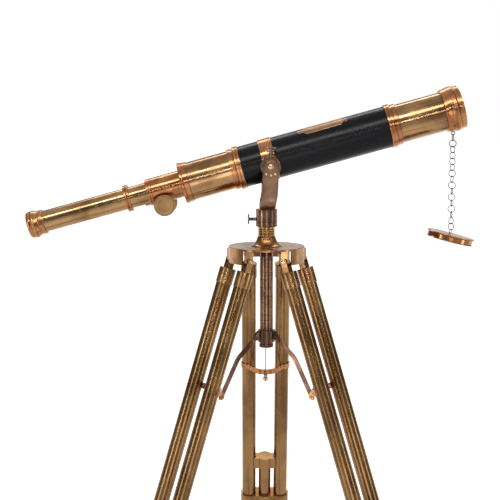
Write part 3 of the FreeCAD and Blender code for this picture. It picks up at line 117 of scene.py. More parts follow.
# %% From grids of points to a mesh
def surface(name, grids, finish, body, nodes=()):
    """One object from grids (points, uv, wear) of shape (m, n, ...), in metres.

    Face (i, j) joins points (i, j), (i, j+1), (i+1, j+1) and (i+1, j). Points of one grid
    that fall together are merged, and a face with two merged corners becomes a triangle.
    """
    points, uvs, wears, quads, owner = [], [], [], [], []
    start = 0
    for number, (grid, uv, wear) in enumerate(grids):
        rows, columns = grid.shape[:2]
        index = np.arange(rows * columns).reshape(rows, columns) + start
        corners = (index[:-1, :-1], index[:-1, 1:], index[1:, 1:], index[1:, :-1])
        quads.append(np.stack(corners, -1).reshape(-1, 4))
        points.append(grid.reshape(-1, 3))
        uvs.append(uv.reshape(-1, 2))
        wears.append(np.broadcast_to(wear, (rows, columns)).reshape(-1))
        owner.append(np.full(rows * columns, number))
        start += rows * columns
    points, uvs, wears, quads = (np.concatenate(a) for a in (points, uvs, wears, quads))
    key = np.column_stack([np.round(points / 1e-7).astype(np.int64), np.concatenate(owner)])
    _, first, where = np.unique(key, axis=0, return_index=True, return_inverse=True)
    merged = where.ravel()[quads]
    doubled = merged == np.roll(merged, -1, 1)
    whole = doubled.sum(1) == 0
    split = doubled.sum(1) == 1
    keep = ~doubled[split]
    faces = merged[whole].tolist() + merged[split][keep].reshape(-1, 3).tolist()
    corner_points = np.concatenate([quads[whole].ravel(), quads[split][keep]])
    mesh = bpy.data.meshes.new(name)
    mesh.from_pydata(points[first], [], faces)
    mesh.shade_smooth()
    layer = mesh.uv_layers.new(name="turning")
    layer.uv.foreach_set("vector", uvs[corner_points].astype(np.float32).ravel())
    attribute = mesh.attributes.new("wear", "FLOAT", "POINT")
    attribute.data.foreach_set("value", wears[first].astype(np.float32))
    return shown(bpy.data.objects.new(name, mesh), finish, body, nodes)


def shown(piece, finish, body, nodes=()):
    """Puts a piece in the scene with its material, its body and the nodes that it replaces."""
    bpy.context.scene.collection.objects.link(piece)
    piece.data.materials.clear()
    piece.data.materials.append(finish)
    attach(piece, body)
    if nodes:
        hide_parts(*nodes)
    print(f"{piece.name}: {len(piece.data.polygons)} faces on {body}")
    return piece


# %% [markdown]
# ## Soft corners
# Turned brass has no knife edges. Years of hands round them a little more and rub them bright, and
# dirt stays in the inside corners. So each corner of an outline becomes a short curve, and the turn
# of the outline there is kept as "wear": above zero on outer corners, below zero in inner ones.

# %% Rounding an outline
def rounded(outline, size=0.5, closed=True):
    """Outline with soft corners, and the wear at each point.

    A corner P between A and C, which lie a short reach along its two edges, becomes the
    parabola (1-t)^2 A + 2t(1-t) P + t^2 C, with one more point beyond each end to keep the
    shading of long faces flat. Wear is the sine of the turn, positive where it bulges out.
    """
    p = np.asarray(outline, float)
    back, ahead = np.roll(p, 1, 0) - p, np.roll(p, -1, 0) - p
    back_length = np.linalg.norm(back, axis=1)
    ahead_length = np.linalg.norm(ahead, axis=1)
    reach = np.minimum(size, 0.24 * np.minimum(back_length, ahead_length))[:, None]
    back, ahead = back / back_length[:, None] * reach, ahead / ahead_length[:, None] * reach
    turn = (back[:, 0] * ahead[:, 1] - back[:, 1] * ahead[:, 0]) / reach[:, 0] ** 2
    middle = p + 0.25 * (back + ahead)
    curve = np.stack([p + 2 * back, p + back, middle, p + ahead, p + 2 * ahead], 1)
    wear = turn[:, None] * np.array([0.0, 0.8, 1.0, 0.8, 0.0])
    if closed:
        return curve.reshape(-1, 2), wear.reshape(-1)
    ends = p[:1], p[-1:]
    inner = curve[1:-1].reshape(-1, 2)
    inner_wear = wear[1:-1].reshape(-1)
    return np.concatenate([ends[0], inner, ends[1]]), np.concatenate([[0.0], inner_wear, [0.0]])


def bow(start, middle, end, count=6):
    """Points on the parabola that passes through three points, without its first."""
    start, middle, end = (np.asarray(q, float) for q in (start, middle, end))
    control = 2 * middle - (start + end) / 2
    t = np.linspace(0, 1, count + 1)[1:, None]
    return ((1 - t) ** 2 * start + 2 * t * (1 - t) * control + t ** 2 * end).tolist()


def lathe(outline, axes, size=0.5, sides=96, closed=True, milled=None):
    """The grid of a turned piece. A point (s, r) of the outline, turned by the angle a, goes to
    origin + s axis + r (cos a side + sin a third).

    The outline runs clockwise with s to the right and r up, so that faces point outwards.
    milled = (first station, last station, teeth, depth) lets the rim's radius rise and fall
    with the cosine of the angle.
    """
    origin, axis, side = axes
    third = np.cross(axis, side)
    line, wear = rounded(outline, size, closed)
    if closed:
        line, wear = np.vstack([line, line[:1]]), np.append(wear, wear[0])
    station, radius = line[:, :1], line[:, 1:]
    angle = np.linspace(0, 2 * math.pi, sides + 1)[None, :]
    reach = radius + 0 * angle
    if milled:
        first, last, teeth, depth = milled
        on_rim = (station >= first) & (station <= last) & (radius > 0.9 * radius.max())
        reach = reach - on_rim * depth * (0.5 - 0.5 * np.cos(teeth * angle))
    spoke = np.cos(angle)[..., None] * side + np.sin(angle)[..., None] * third
    grid = origin + MM * (station[..., None] * axis + reach[..., None] * spoke)
    length = np.append(0, np.cumsum(np.linalg.norm(np.diff(line, axis=0), axis=1)))[:, None]
    uv = np.stack([MM * radius.mean() * angle + 0 * length, MM * length + 0 * angle], -1)
    return grid, uv, wear[:, None]


def moved_axes(axes, station=0.0, side=0.0, third=0.0):
    """The same axes from another origin, so many millimetres along each of them."""
    origin, axis, ahead = axes
    return origin + MM * (station * axis + side * ahead + third * np.cross(axis, ahead)), axis, ahead


# %% [markdown]
# ## Old brass
# Brass darkens unevenly: golden where it is handled, brown where it is not, with small dark
# stains. A metal's base colour is the tint of its reflections, so we mix three tints with noise,
# brighten the worn corners and darken the inner ones. Fine lines from the lathe or the drawing
# die come from noise that is stretched round or along the piece, read from the piece's own UV.

# %% A small language for materials
def add(tree, kind, settings=(), **inputs):
    """Adds a node. An input that is a socket is linked to, and any other value is set."""
    node = tree.nodes.new(kind)
    for key, value in dict(settings).items():
        setattr(node, key, value)
    for key, value in inputs.items():
        name = key.replace("_", " ")
        socket = node.inputs[int(key[1:])] if key[1:].isdigit() else node.inputs[name]
        if isinstance(value, bpy.types.NodeSocket):
            tree.links.new(value, socket)
        else:
            socket.default_value = value
    return node


def tint(red, green, blue):
    """A colour as a screen shows it, 0 to 255, made linear."""
    c = np.array([red, green, blue]) / 255
    linear = np.where(c <= 0.04045, c / 12.92, ((c + 0.055) / 1.055) ** 2.4)
    return (*linear.tolist(), 1.0)


def blank(name, **values):
    """A new material, its tree and its Principled shader with some values set."""
    material = bpy.data.materials.new(name)
    material.use_nodes = True
    shader = material.node_tree.nodes["Principled BSDF"]
    for key, value in values.items():
        shader.inputs[key.replace("_", " ")].default_value = value
    return material, material.node_tree, shader


def mix(tree, amount, one, other):
    """A blend of two colours: one where amount is 0, and the other where it is 1."""
    node = add(tree, "ShaderNodeMix", {"data_type": "RGBA"}, Factor=amount, i6=one, i7=other)
    return node.outputs[2]


def span(tree, value, low, high, out_low=0.0, out_high=1.0):
    """Rescales a value from low..high to out_low..out_high, smoothly and within bounds."""
    node = add(tree, "ShaderNodeMapRange", {"interpolation_type": "SMOOTHSTEP"}, Value=value,
               From_Min=low, From_Max=high, To_Min=out_low, To_Max=out_high)
    return node.outputs[0]


def combine(tree, operation, one, other):
    """Two values put together by a math node, as their product for MULTIPLY."""
    return add(tree, "ShaderNodeMath", {"operation": operation}, i0=one, i1=other).outputs[0]


def noise(tree, where, scale, detail=4.0, rough=0.55):
    """Smooth noise between 0 and 1; scale is its blotches per metre."""
    node = add(tree, "ShaderNodeTexNoise", Vector=where, Scale=scale, Detail=detail, Roughness=rough)
    return node.outputs["Fac"]


def old_metal(name, bright, body, dark, rough, stain, dents, clouds=16.0, grain=None):
    """Brass or bronze with a patina. bright, body and dark are its tints as a screen shows them.

    rough is the least and the most roughness, stain the strength of the small dark stains, dents
    that of the shallow dents, and clouds the light and dark areas per metre. grain is the stretch
    of the fine lines in the piece's UV, as (across, along) scales per metre: the lines darken the
    metal in streaks and stand up a little.
    """
    bright, body, dark = (tint(*shade) for shade in (bright, body, dark))
    material, tree, shader = blank(name, Metallic=1.0)
    place = add(tree, "ShaderNodeTexCoord")
    here = place.outputs["Object"]
    cloud = noise(tree, here, clouds, 5.0, 0.6)
    speck = noise(tree, here, clouds * 3.0, 2.0, 0.5)
    colour = mix(tree, span(tree, cloud, 0.36, 0.66), body, bright)
    spots = span(tree, speck, 0.52, 0.72)
    stains = combine(tree, "MULTIPLY", spots, span(tree, cloud, 0.62, 0.4, 0.25, 1.0))
    colour = mix(tree, combine(tree, "MULTIPLY", stains, stain), colour, dark)
    wear = add(tree, "ShaderNodeAttribute", {"attribute_name": "wear"}).outputs["Fac"]
    colour = mix(tree, span(tree, wear, -0.05, -0.8, 0.0, 0.85), colour, dark)
    rubbed = combine(tree, "MULTIPLY", span(tree, wear, 0.15, 0.9, 0.0, 0.35), span(tree, speck, 0.35, 0.55))
    colour = mix(tree, rubbed, colour, bright)
    if grain:
        stretched = add(tree, "ShaderNodeMapping", Vector=place.outputs["UV"], Scale=(*grain, 1.0))
        lines = noise(tree, stretched.outputs[0], 1.0, 2.0, 0.5)
        colour = mix(tree, span(tree, lines, 0.5, 0.72, 0.0, 0.5), colour, dark)
    tree.links.new(colour, shader.inputs["Base Color"])
    smear = noise(tree, here, clouds * 2.3, 3.0, 0.5)
    tree.links.new(span(tree, smear, 0.3, 0.7, *rough), shader.inputs["Roughness"])
    height = noise(tree, here, 60.0, 2.0, 0.4)
    bump = add(tree, "ShaderNodeBump", Height=height, Strength=dents, Distance=0.0006)
    if grain:
        bump = add(tree, "ShaderNodeBump", Height=lines, Strength=0.1, Distance=0.00002,
                   Normal=bump.outputs[0])
    tree.links.new(bump.outputs[0], shader.inputs["Normal"])
    return material


ROUND_LINES = (6.0, 230.0)
LONG_LINES = (170.0, 4.0)
DARK_BRONZE = (150, 116, 92), (104, 78, 62), (40, 28, 22)
golden = old_metal("antique_brass_turned", (204, 160, 106), (156, 114, 68), (66, 46, 30),
                   (0.18, 0.32), 0.3, 0.08, grain=ROUND_LINES)
drawn = old_metal("antique_brass_drawn", (196, 154, 108), (142, 106, 72), (64, 46, 34),
                  (0.12, 0.24), 0.3, 0.05, clouds=11.0, grain=LONG_LINES)
coppery = old_metal("copper_brass_turned", (208, 148, 100), (168, 112, 72), (76, 46, 30),
                    (0.15, 0.28), 0.28, 0.06, grain=ROUND_LINES)
leg_tube = old_metal("leg_brass_drawn", (172, 132, 88), (132, 98, 62), (70, 48, 32),
                     (0.2, 0.3), 0.2, 0.04, clouds=7.0, grain=LONG_LINES)
leg_cast = old_metal("leg_brass_cast", (182, 140, 94), (140, 102, 64), (62, 42, 28),
                    (0.22, 0.34), 0.25, 0.08)
plate_brass = old_metal("hub_brass_brushed", (192, 146, 100), (148, 106, 68), (66, 44, 28),
                       (0.22, 0.36), 0.25, 0.06)
bronze = old_metal("dark_bronze", *DARK_BRONZE, (0.22, 0.36), 0.3, 0.06)
bronze_turned = old_metal("dark_bronze_turned", *DARK_BRONZE, (0.17, 0.3), 0.3, 0.05, grain=ROUND_LINES)
screw_brass = old_metal("bright_screw_brass", (232, 202, 168), (190, 156, 122), (84, 58, 40),
                        (0.14, 0.28), 0.3, 0.08)
knob_brass = old_metal("knob_brass_brushed", (196, 154, 108), (160, 120, 80), (84, 56, 36),
                       (0.34, 0.5), 0.2, 0.06, grain=ROUND_LINES)
plate_dull = old_metal("nameplate_brown_brass", (156, 118, 90), (112, 82, 62), (52, 36, 28),
                       (0.3, 0.44), 0.3, 0.05)
wire_metal = old_metal("dark_chain_wire", (70, 66, 64), (38, 36, 36), (14, 13, 13),
                       (0.24, 0.42), 0.3, 0.08, clouds=120.0)
steel = old_metal("wing_screw_steel", (132, 122, 114), (78, 70, 66), (28, 23, 21),
                  (0.2, 0.4), 0.3, 0.08, clouds=60.0)
print("metals:", [material.name for material in bpy.data.materials if material.use_nodes])

# %% [markdown]
# ## What isn't metal
# The middle of the barrel is covered in smooth black leather with a very fine grain; the feet are
# moulded rubber; the lenses are coated glass. Voronoi cells make a good leather grain, because
# real grain is cells with narrow valleys between them.

# %% Leather, rubber, glass and the blackened inside
def leather_black():
    """Near-black leather, whose grain is the valleys between small cells."""
    material, tree, shader = blank("smooth_black_covering", Roughness=0.3)
    shader.inputs["Specular IOR Level"].default_value = 0.22
    here = add(tree, "ShaderNodeTexCoord").outputs["Object"]
    cells = add(tree, "ShaderNodeTexVoronoi", {"feature": "DISTANCE_TO_EDGE"}, Vector=here, Scale=620.0)
    valley = span(tree, cells.outputs["Distance"], 0.0, 0.16)
    scuff = noise(tree, here, 22.0, 5.0, 0.65)
    colour = mix(tree, span(tree, scuff, 0.45, 0.75), tint(5, 5, 8), tint(10, 10, 15))
    tree.links.new(colour, shader.inputs["Base Color"])
    tree.links.new(span(tree, scuff, 0.3, 0.7, 0.22, 0.32), shader.inputs["Roughness"])
    bump = add(tree, "ShaderNodeBump", Height=valley, Strength=0.35, Distance=0.00005)
    tree.links.new(bump.outputs[0], shader.inputs["Normal"])
    return material


def rubber_black():
    """Black rubber with pale dust on it."""
    material, tree, shader = blank("moulded_rubber", Roughness=0.6)
    here = add(tree, "ShaderNodeTexCoord").outputs["Object"]
    dust = noise(tree, here, 60.0, 6.0, 0.7)
    colour = mix(tree, span(tree, dust, 0.45, 0.8), tint(28, 27, 27), tint(66, 62, 58))
    tree.links.new(colour, shader.inputs["Base Color"])
    bump = add(tree, "ShaderNodeBump", Height=noise(tree, here, 900.0, 2.0), Strength=0.3, Distance=0.0001)
    tree.links.new(bump.outputs[0], shader.inputs["Normal"])
    return material


def coated_glass():
    """Clear glass with a faint blue coating and a few smears."""
    material, tree, shader = blank("coated_glass", Roughness=0.02, Transmission_Weight=0.92, IOR=1.52)
    here = add(tree, "ShaderNodeTexCoord").outputs["Object"]
    smear = noise(tree, here, 30.0, 3.0)
    tree.links.new(mix(tree, smear, (0.86, 0.9, 0.98, 1), (0.8, 0.86, 0.98, 1)), shader.inputs["Base Color"])
    tree.links.new(span(tree, smear, 0.4, 0.8, 0.01, 0.06), shader.inputs["Roughness"])
    return material


def inside_black():
    """The dull black paint inside the tubes."""
    material, tree, shader = blank("blackened_inside", Roughness=0.85)
    here = add(tree, "ShaderNodeTexCoord").outputs["Object"]
    colour = mix(tree, noise(tree, here, 90.0), tint(14, 13, 13), tint(24, 22, 21))
    tree.links.new(colour, shader.inputs["Base Color"])
    return material


covering = leather_black()
rubber = rubber_black()
glass = coated_glass()
soot = inside_black()
print("covering, rubber, glass and the blackened inside are made")

# %% [markdown]
# ## The tube
# The main tube is drawn brass; the covering is a sleeve glued round it, and a stepped ring hides
# each of its ends. Every outline below is a list of (station, radius), in millimetres from the
# tilt axis, clockwise, and has the same steps as the CAD model.

# %% Main tube, covering and stepped rings
def pipe_outline(back, front, outer, inner):
    """The outline of a plain tube between two stations."""
    return [(back, inner), (back, outer), (front, outer), (front, inner)]


surface("main_tube_drawn", [lathe(pipe_outline(-190.0, 402.5, TUBE_R, 40.9), TUBE, 0.4, 128)], drawn,
        "spyglass", ["main_tube"])
surface("main_tube_inside", [lathe(pipe_outline(-160.0, 399.7, 40.88, 40.3), TUBE, 0.2, 64)], soot,
        "spyglass")
cover_outline = pipe_outline(COVER_BACK, COVER_FRONT, COVER_R, ON_TUBE)
surface("black_covering", [lathe(cover_outline, TUBE, 0.5, 160)], covering,
        "spyglass", ["barrel_sleeve"])


def stepped_rings(back, low_first):
    """High ring, groove and low ring that end the covering; low_first puts the low ring behind."""
    high, low, groove = 47.6, 45.0, 43.7
    wide, narrow, gap = 12.0, 9.0, 3.0
    first, second = (low, high) if low_first else (high, low)
    a = back + (narrow if low_first else wide)
    b = a + gap
    end = b + (wide if low_first else narrow)
    middle = (b + end) / 2 if low_first else (a + back) / 2
    steps = [(back, ON_TUBE), (back, first), (a, first), (a, groove)]
    steps += [(b, groove), (b, second), (end, second), (end, ON_TUBE)]
    scribed = high - 0.5
    scribe = [(middle - 1.2, high), (middle - 0.7, scribed), (middle + 0.7, scribed), (middle + 1.2, high)]
    at = 6 if low_first else 2
    return steps[:at] + scribe + steps[at:]


RING_LENGTH = 24.0
both_rings = [lathe(stepped_rings(back, low_first), TUBE, 0.9, 128)
              for back, low_first in ((COVER_BACK - RING_LENGTH, True), (COVER_FRONT, False))]
surface("stepped_rings", both_rings, coppery, "spyglass", ["tube_rings"])

# %% [markdown]
# ## Objective end
# The cell swells gently forward to a high bead, then steps down to the thin rim that the dust cap
# slips over. Inside it a threaded ring holds the lens. The swelling is a parabola through three
# points; straight lines there would show as flat bands in the reflections.

# %% Objective cell and rear flange
cell_back, cell_front = 391.5, 432.5
cell_rim = cell_front - 8.0
cell_bore, lens_view = 43.4, 39.5
cell_outline = [(cell_back, ON_TUBE), (cell_back, 45.6), (cell_back + 1.0, 46.4)]
cell_outline += bow((cell_back + 1.0, 46.4), (cell_back + 7.5, 46.9), (cell_back + 13.0, 47.9))
cell_outline += bow((cell_back + 13.0, 47.9), (cell_back + 15.8, 48.6), (cell_back + 18.0, 48.8), 3)
cell_outline += [(cell_back + 19.5, 49.4), (cell_back + 26.0, 49.4)]
cell_outline += bow((cell_back + 26.0, 49.4), (cell_rim - 6.0, 49.1), (cell_rim - 5.0, 48.2), 3)
cell_outline += [(cell_rim - 3.6, 47.3), (cell_rim, 47.3), (cell_rim, 46.8), (cell_front, 46.8)]
cell_outline += [(cell_front, cell_bore), (cell_back + 14.0, cell_bore), (cell_back + 14.0, lens_view)]
cell_outline += [(cell_back + 11.0, lens_view), (cell_back + 11.0, ON_TUBE)]
lens_ring = [(416.9, lens_view), (416.9, cell_bore - FIT), (420.9, cell_bore - FIT), (420.9, 41.5)]
cell_grids = [lathe(cell_outline, TUBE, 0.6, 144), lathe(lens_ring, TUBE, 0.3, 96)]
surface("objective_cell_turned", cell_grids, coppery, "spyglass", ["objective_cell"])

flange_outline = [(-196.8, 29.85), (-196.8, 44.6)]
flange_outline += bow((-196.8, 44.6), (-196.0, 45.5), (-194.6, 45.8), 3)
flange_outline += bow((-194.0, 45.8), (-191.2, 45.5), (-190.0, 44.1), 3)
flange_outline += [(-177.8, 44.1), (-177.8, ON_TUBE), (-190.0, ON_TUBE), (-190.0, 29.85)]
surface("rear_flange_turned", [lathe(flange_outline, TUBE, 0.6, 128)], coppery,
        "spyglass", ["rear_flange"])

# %% [markdown]
# ## Copies of CAD shapes
# Small screws, cheeks and cast blocks already have the right shape in CAD. What they lack is a
# soft edge: without one no edge ever catches the light. We copy the CAD mesh, merge its loose
# triangles, join the flat ones, and let a Bevel modifier round what is sharper than 35 degrees.

# %% Softened copies
def softened(node, finish, body, width):
    """A copy of a CAD node whose sharp edges are rounded by width millimetres."""
    mesh = frame["nodes"][node].data.copy()
    shape = bmesh.new()
    shape.from_mesh(mesh)
    bmesh.ops.remove_doubles(shape, verts=shape.verts, dist=1e-6)
    bmesh.ops.dissolve_limit(shape, angle_limit=math.radians(0.4), verts=shape.verts, edges=shape.edges)
    shape.to_mesh(mesh)
    shape.free()
    for attribute in [a.name for a in mesh.attributes if a.name == "custom_normal"]:
        mesh.attributes.remove(mesh.attributes[attribute])
    mesh.name = node + "_soft"
    mesh.shade_smooth()
    piece = bpy.data.objects.new(mesh.name, mesh)
    edge = piece.modifiers.new("soft edges", "BEVEL")
    edge.width, edge.segments = width * MM, 2
    edge.limit_method, edge.angle_limit = "ANGLE", math.radians(35)
    edge.harden_normals = True
    edge.use_clamp_overlap = True
    return shown(piece, finish, body, [node])


for node, finish, body, slot, width in (
    ("pinion_housing", golden, "spyglass", "antique_brass", 0.4),
    ("small_screws", screw_brass, "spyglass", "bright_screws", 0.12),
    ("pivot_screws", screw_brass, "spyglass", "bright_screws", 0.25),
    ("arm_screws", screw_brass, "fork", "bright_screws", 0.15),
    ("focus_rack", golden, "draw", "antique_brass", 0.08),
    ("pinion_shaft", golden, "pinion", "antique_brass", 0.1),
    ("hub_plate", plate_brass, "root", "hub_brass", 0.5),
    ("hinge_bolts", screw_brass, "root", "bright_screws", 0.25),
    ("spider", bronze, "spider", "dark_bronze", 0.3),
):
    softened(node, finish, body, width)
for leg in LEGS:
    softened(leg + "_leg_ferrules", leg_cast, leg + "_leg", 0.4)
    softened(leg + "_leg_band", coppery, leg + "_leg", 0.3)
    softened(leg + "_leg_clamp", leg_cast, leg + "_leg", 0.8)
    softened(leg + "_leg_slider", leg_tube, leg + "_lower_leg", 0.5)
    softened(leg + "_brace", bronze, leg + "_brace", 0.25)

# %% [markdown]
# ## Eyepiece end
# The draw tube slides in the focus body, whose underside is slotted for the rack. A pair of milled
# knobs drives it. The eyepiece tube ends in a bell-mouthed cup, which the eye rests against.

# %% Focus body, draw and eyepiece
def slotted(outline, axes, half_gap, size=0.5, sides=120):
    """A turned piece that is open along its underside: the same grid over less than a full
    turn, whose two ends are closed by the outline itself, drawn in to its middle line."""
    origin, axis, side = axes
    third = np.cross(axis, side)
    line, wear = rounded(outline, size)
    line, wear = np.vstack([line, line[:1]]), np.append(wear, wear[0])
    station, radius = line[:, :1], line[:, 1:]
    middle = 0.5 * (radius.min() + radius.max())
    angle = np.linspace(-1, 1, sides + 1)[None, :]
    turn = angle * (math.pi - np.arcsin(half_gap / radius))
    angle_in = angle[:, [0, -1]] * (math.pi - np.arcsin(half_gap / middle))
    radius_in = middle + 0 * station + 0 * angle_in
    turn = np.hstack([angle_in[:, :1] + 0 * station, turn, angle_in[:, 1:] + 0 * station])
    reach = np.hstack([radius_in[:, :1], radius + 0 * angle, radius_in[:, 1:]])
    spoke = np.cos(turn)[..., None] * side + np.sin(turn)[..., None] * third
    grid = origin + MM * (station[..., None] * axis + reach[..., None] * spoke)
    uv = np.stack([MM * middle * turn, MM * station + 0 * turn], -1)
    return grid, uv, wear[:, None]


body_outline = [(-274.0, ON_DRAW), (-274.0, 29.0), (-273.2, 29.8), (-268.5, 29.8), (-267.9, 29.3)]
body_outline += [(-267.3, 29.8), (-190.0, 29.8), (-184.0, 29.8), (-184.0, ON_DRAW)]
surface("focus_body_turned", [slotted(body_outline, TUBE, 4.5)], coppery,
        "spyglass", ["focus_body"])
draw_outline = pipe_outline(DRAW_JOIN, -150.0, DRAW_R, DRAW_BORE_R)
surface("draw_tube_drawn", [lathe(draw_outline, TUBE, 0.3)], drawn, "draw", ["draw_tube"])
cup_outline = [(-509.6, ON_DRAW), (-509.6, 27.1), (-517.6, 27.1), (-518.4, 26.0), (-520.2, 26.0)]
cup_outline += bow((-520.2, 26.0), (-524.2, 27.4), (-528.7, 29.6))
cup_outline += bow((-528.7, 29.6), (-532.0, 31.1), (-536.2, 29.4))
cup_outline += bow((-536.2, 29.4), (-541.8, 29.2), (-545.2, 27.2))
cup_outline += bow((-545.2, 27.2), (-545.2, 25.8), (-544.0, 24.8), 3)
cup_outline += bow((-544.0, 24.8), (-534.0, 18.0), (-528.6, 9.0), 8)
cup_outline += [(-526.6, 9.0), (-526.6, 12.05), (-519.6, 12.05), (-519.6, ON_DRAW)]
eyepiece_outline = pipe_outline(-519.6, DRAW_JOIN, DRAW_R, DRAW_BORE_R)
surface("eyepiece_tube_drawn", [lathe(eyepiece_outline, TUBE, 0.3)], drawn,
        "draw", ["eyepiece_tube"])
surface("eyecup_turned", [lathe(cup_outline[::-1], TUBE, 0.5, 120)], coppery,
        "draw", ["eyecup"])
collar_outline = [(-324.25, ON_DRAW), (-324.25, 29.6), (-320.0, 29.6), (-319.0, 28.7), (-318.0, 29.6),
                  (-313.75, 29.6), (-313.75, ON_DRAW)]
surface("eyepiece_collar_turned", [lathe(collar_outline, TUBE, 0.8)], coppery,
        "draw", ["eyepiece_collar"])
print("eyepiece end done")

# %% [markdown]
# ## Knobs
# A knob's rim is milled: fine teeth all round, so that fingers don't slip. On a lathe grid that is
# only a ripple of the radius with the angle, kept to the stations of the rim.

# %% Focus knobs
pinion_at = joint_place("pinion_turn")


def knob(side):
    """A focus knob on one side of the pinion's shaft, with 90 teeth round its rim."""
    axes = (pinion_at, side * ACROSS, above)
    rim = [(31.0, 2.6), (31.0, 21.0), (32.4, 23.5), (39.1, 23.5), (40.5, 22.0)]
    face = [(40.5, 20.9), (40.1, 20.3), (40.1, 3.4), (40.5, 3.0), (40.5, 0.0)]
    return lathe([(31.0, 0.0)] + rim + face, axes, 0.4, 360, False, (32.0, 39.5, 90, 0.5))


surface("focus_knobs_milled", [knob(1), knob(-1)], knob_brass, "pinion", ["focus_knobs"])

# %% [markdown]
# ## Strip bent to shape
# The fork is one thick strip bent into a U. Its surface is a rounded rectangle carried along the
# bent centre line. The rectangle's width changes with height, and shrinks to nothing round the
# top of each arm, which closes the end as a half circle.

# %% A section carried along a line
def section(half_width, half_thick, corner, count=5):
    """Rounded rectangles for each row: corners are quarter circles of the given radius."""
    quarter = np.linspace(0, math.pi / 2, count)
    angle = np.concatenate([quarter + turns * math.pi / 2 for turns in range(4)] + [[0.0]])
    sx = np.concatenate([np.full(count, s) for s in (1, -1, -1, 1)] + [[1]])
    sy = np.concatenate([np.full(count, s) for s in (1, 1, -1, -1)] + [[1]])
    width = np.asarray(half_width, float)[:, None]
    c = np.minimum(corner, np.minimum(width, half_thick) * 0.999)
    across = sx * (width - c) + c * np.cos(angle)
    thick = sy * (half_thick - c) + c * np.sin(angle)
    return across, thick


def strip(line, wide, out, half_width, half_thick, corner):
    """Carries the section along a line: point = line + across * wide + thick * out.

    line, wide and out have one row for each step, all in millimetres and unit vectors.
    """
    across, thick = section(half_width, half_thick, corner)
    grid = line[:, None] + across[..., None] * wide[:, None] + thick[..., None] * out[:, None]
    length = np.append(0, np.cumsum(np.linalg.norm(np.diff(line, axis=0), axis=1)))[:, None]
    edge = np.minimum(half_thick - np.abs(thick), np.asarray(half_width)[:, None] - np.abs(across))
    wear = np.clip(1 - edge / corner, 0, 1) * 0.9
    uv = MM * np.stack([across + 0 * length, length + 0 * across], -1)
    return MM * grid, uv, wear


def fork_strip():
    """Arms straight up at y = +-60.3 mm, joined by a flat foot through two quarter turns."""
    half, foot, bend, pivot, tip = 60.3, 84.3, 21.5, 177.0, 15.6
    cap = pivot + tip * np.sin(np.linspace(math.pi / 2, 0.12, 22))
    arm = np.concatenate([cap, np.linspace(pivot, foot + bend, 26)])
    quarter = np.linspace(0, math.pi / 2, 14)[1:]
    y = np.concatenate([np.full(len(arm), -half), -half + bend * (1 - np.cos(quarter))])
    z = np.concatenate([arm, foot + bend * (1 - np.sin(quarter))])
    across = np.linspace(-half + bend, half - bend, 12)[1:-1]
    y, z = np.concatenate([y, across, -y[::-1]]), np.concatenate([z, np.full(10, foot), z[::-1]])
    lean = np.interp(z, [82, 115, 149, 177], [0.2, 6.2, 7.44, 8.0])
    width = np.interp(z, [82, 115, 149, 177], [16.8, 17.0, 17.6, tip])
    width = np.where(z > pivot, np.sqrt(np.maximum(tip ** 2 - (z - pivot) ** 2, 1e-8)), width)
    line = np.column_stack([lean, y, hub_top / MM + z])
    along = np.gradient(np.column_stack([y, z]), axis=0)
    along /= np.linalg.norm(along, axis=1)[:, None]
    out = np.column_stack([0 * y, along[:, 1], -along[:, 0]])
    wide = np.tile([1.0, 0.0, 0.0], (len(y), 1))
    return strip(line, wide, out, width, 2.5, 0.9)


def turned_drum(side):
    """The flat drum between an arm of the fork and the clamp band, with a rounded rim."""
    axes = (tilt_axis_at, side * ACROSS, UPWARD)
    outline = [(47.8, 4.05), (47.8, 21.3)] + bow((47.8, 21.3), (48.3, 22.2), (49.2, 22.5), 3)
    outline += [(56.4, 22.5)] + bow((56.4, 22.5), (57.4, 22.2), (57.8, 21.3), 3) + [(57.8, 4.05)]
    return lathe(outline, axes, 0.3, 96)


spindle = lathe([(50.0, 0), (50.0, 12.0), (83.0, 12.0), (83.0, 0)], HUB, 0.4, 48, False)
surface("fork_bent_strip", [fork_strip(), spindle], bronze, "fork", ["fork"])
surface("fork_drums_turned", [turned_drum(1), turned_drum(-1)], bronze_turned,
        "fork", ["fork_drums"])

# %% [markdown]
# ## Hub and column
# The neck is one turned piece: a wide foot, a hollow flare, and three fine grooves. The flare is a
# parabola again. The socket above it holds the fork's spindle, and the column hangs below.

# %% Neck, socket and column
neck = [(0.05, 0), (0.05, 33.6), (1.6, 33.6), (2.2, 31.2)]
neck += bow((2.2, 31.2), (9.2, 24.0), (19.0, 20.3), 10) + [(22.0, 18.3)]
for groove in (27.25, 32.5, 37.75):
    neck += [(groove - 1.0, 18.3), (groove, 17.4), (groove + 1.0, 18.3)]
neck += [(43.0, 18.3), (43.0, 0)]
surface("hub_neck_turned", [lathe(neck, HUB, 0.4, 96, False)], golden, "root", ["hub_neck"])
socket = [(43.0, 0), (43.0, 23.0), (43.8, 23.8), (80.6, 23.8), (81.4, 23.0)]
socket += [(81.4, 12.1), (50.0, 12.1), (50.0, 0)]
surface("socket_turned", [lathe(socket, HUB, 0.5, 96, False)], bronze_turned, "root",
        ["socket"])
column = [(-4.4, 12.35), (-4.4, 14.85), (-219.0, 14.85), (-220.0, 16.0), (-225.0, 16.0)]
column += bow((-225.0, 16.0), (-225.9, 15.6), (-226.0, 14.6), 3)
column += [(-226.0, 0), (-222.0, 0), (-222.0, 12.35)]
surface("centre_column_drawn", [lathe(column[::-1], HUB, 0.4)], bronze_turned, "root",
        ["centre_column"])
print("hub done")

# %% [markdown]
# ## Legs
# Each upper leg is a pair of drawn tubes. They are plain, so all their life is in the long
# reflections and in the patina; a wall is kept at their ends, where the lower clamp closes them.

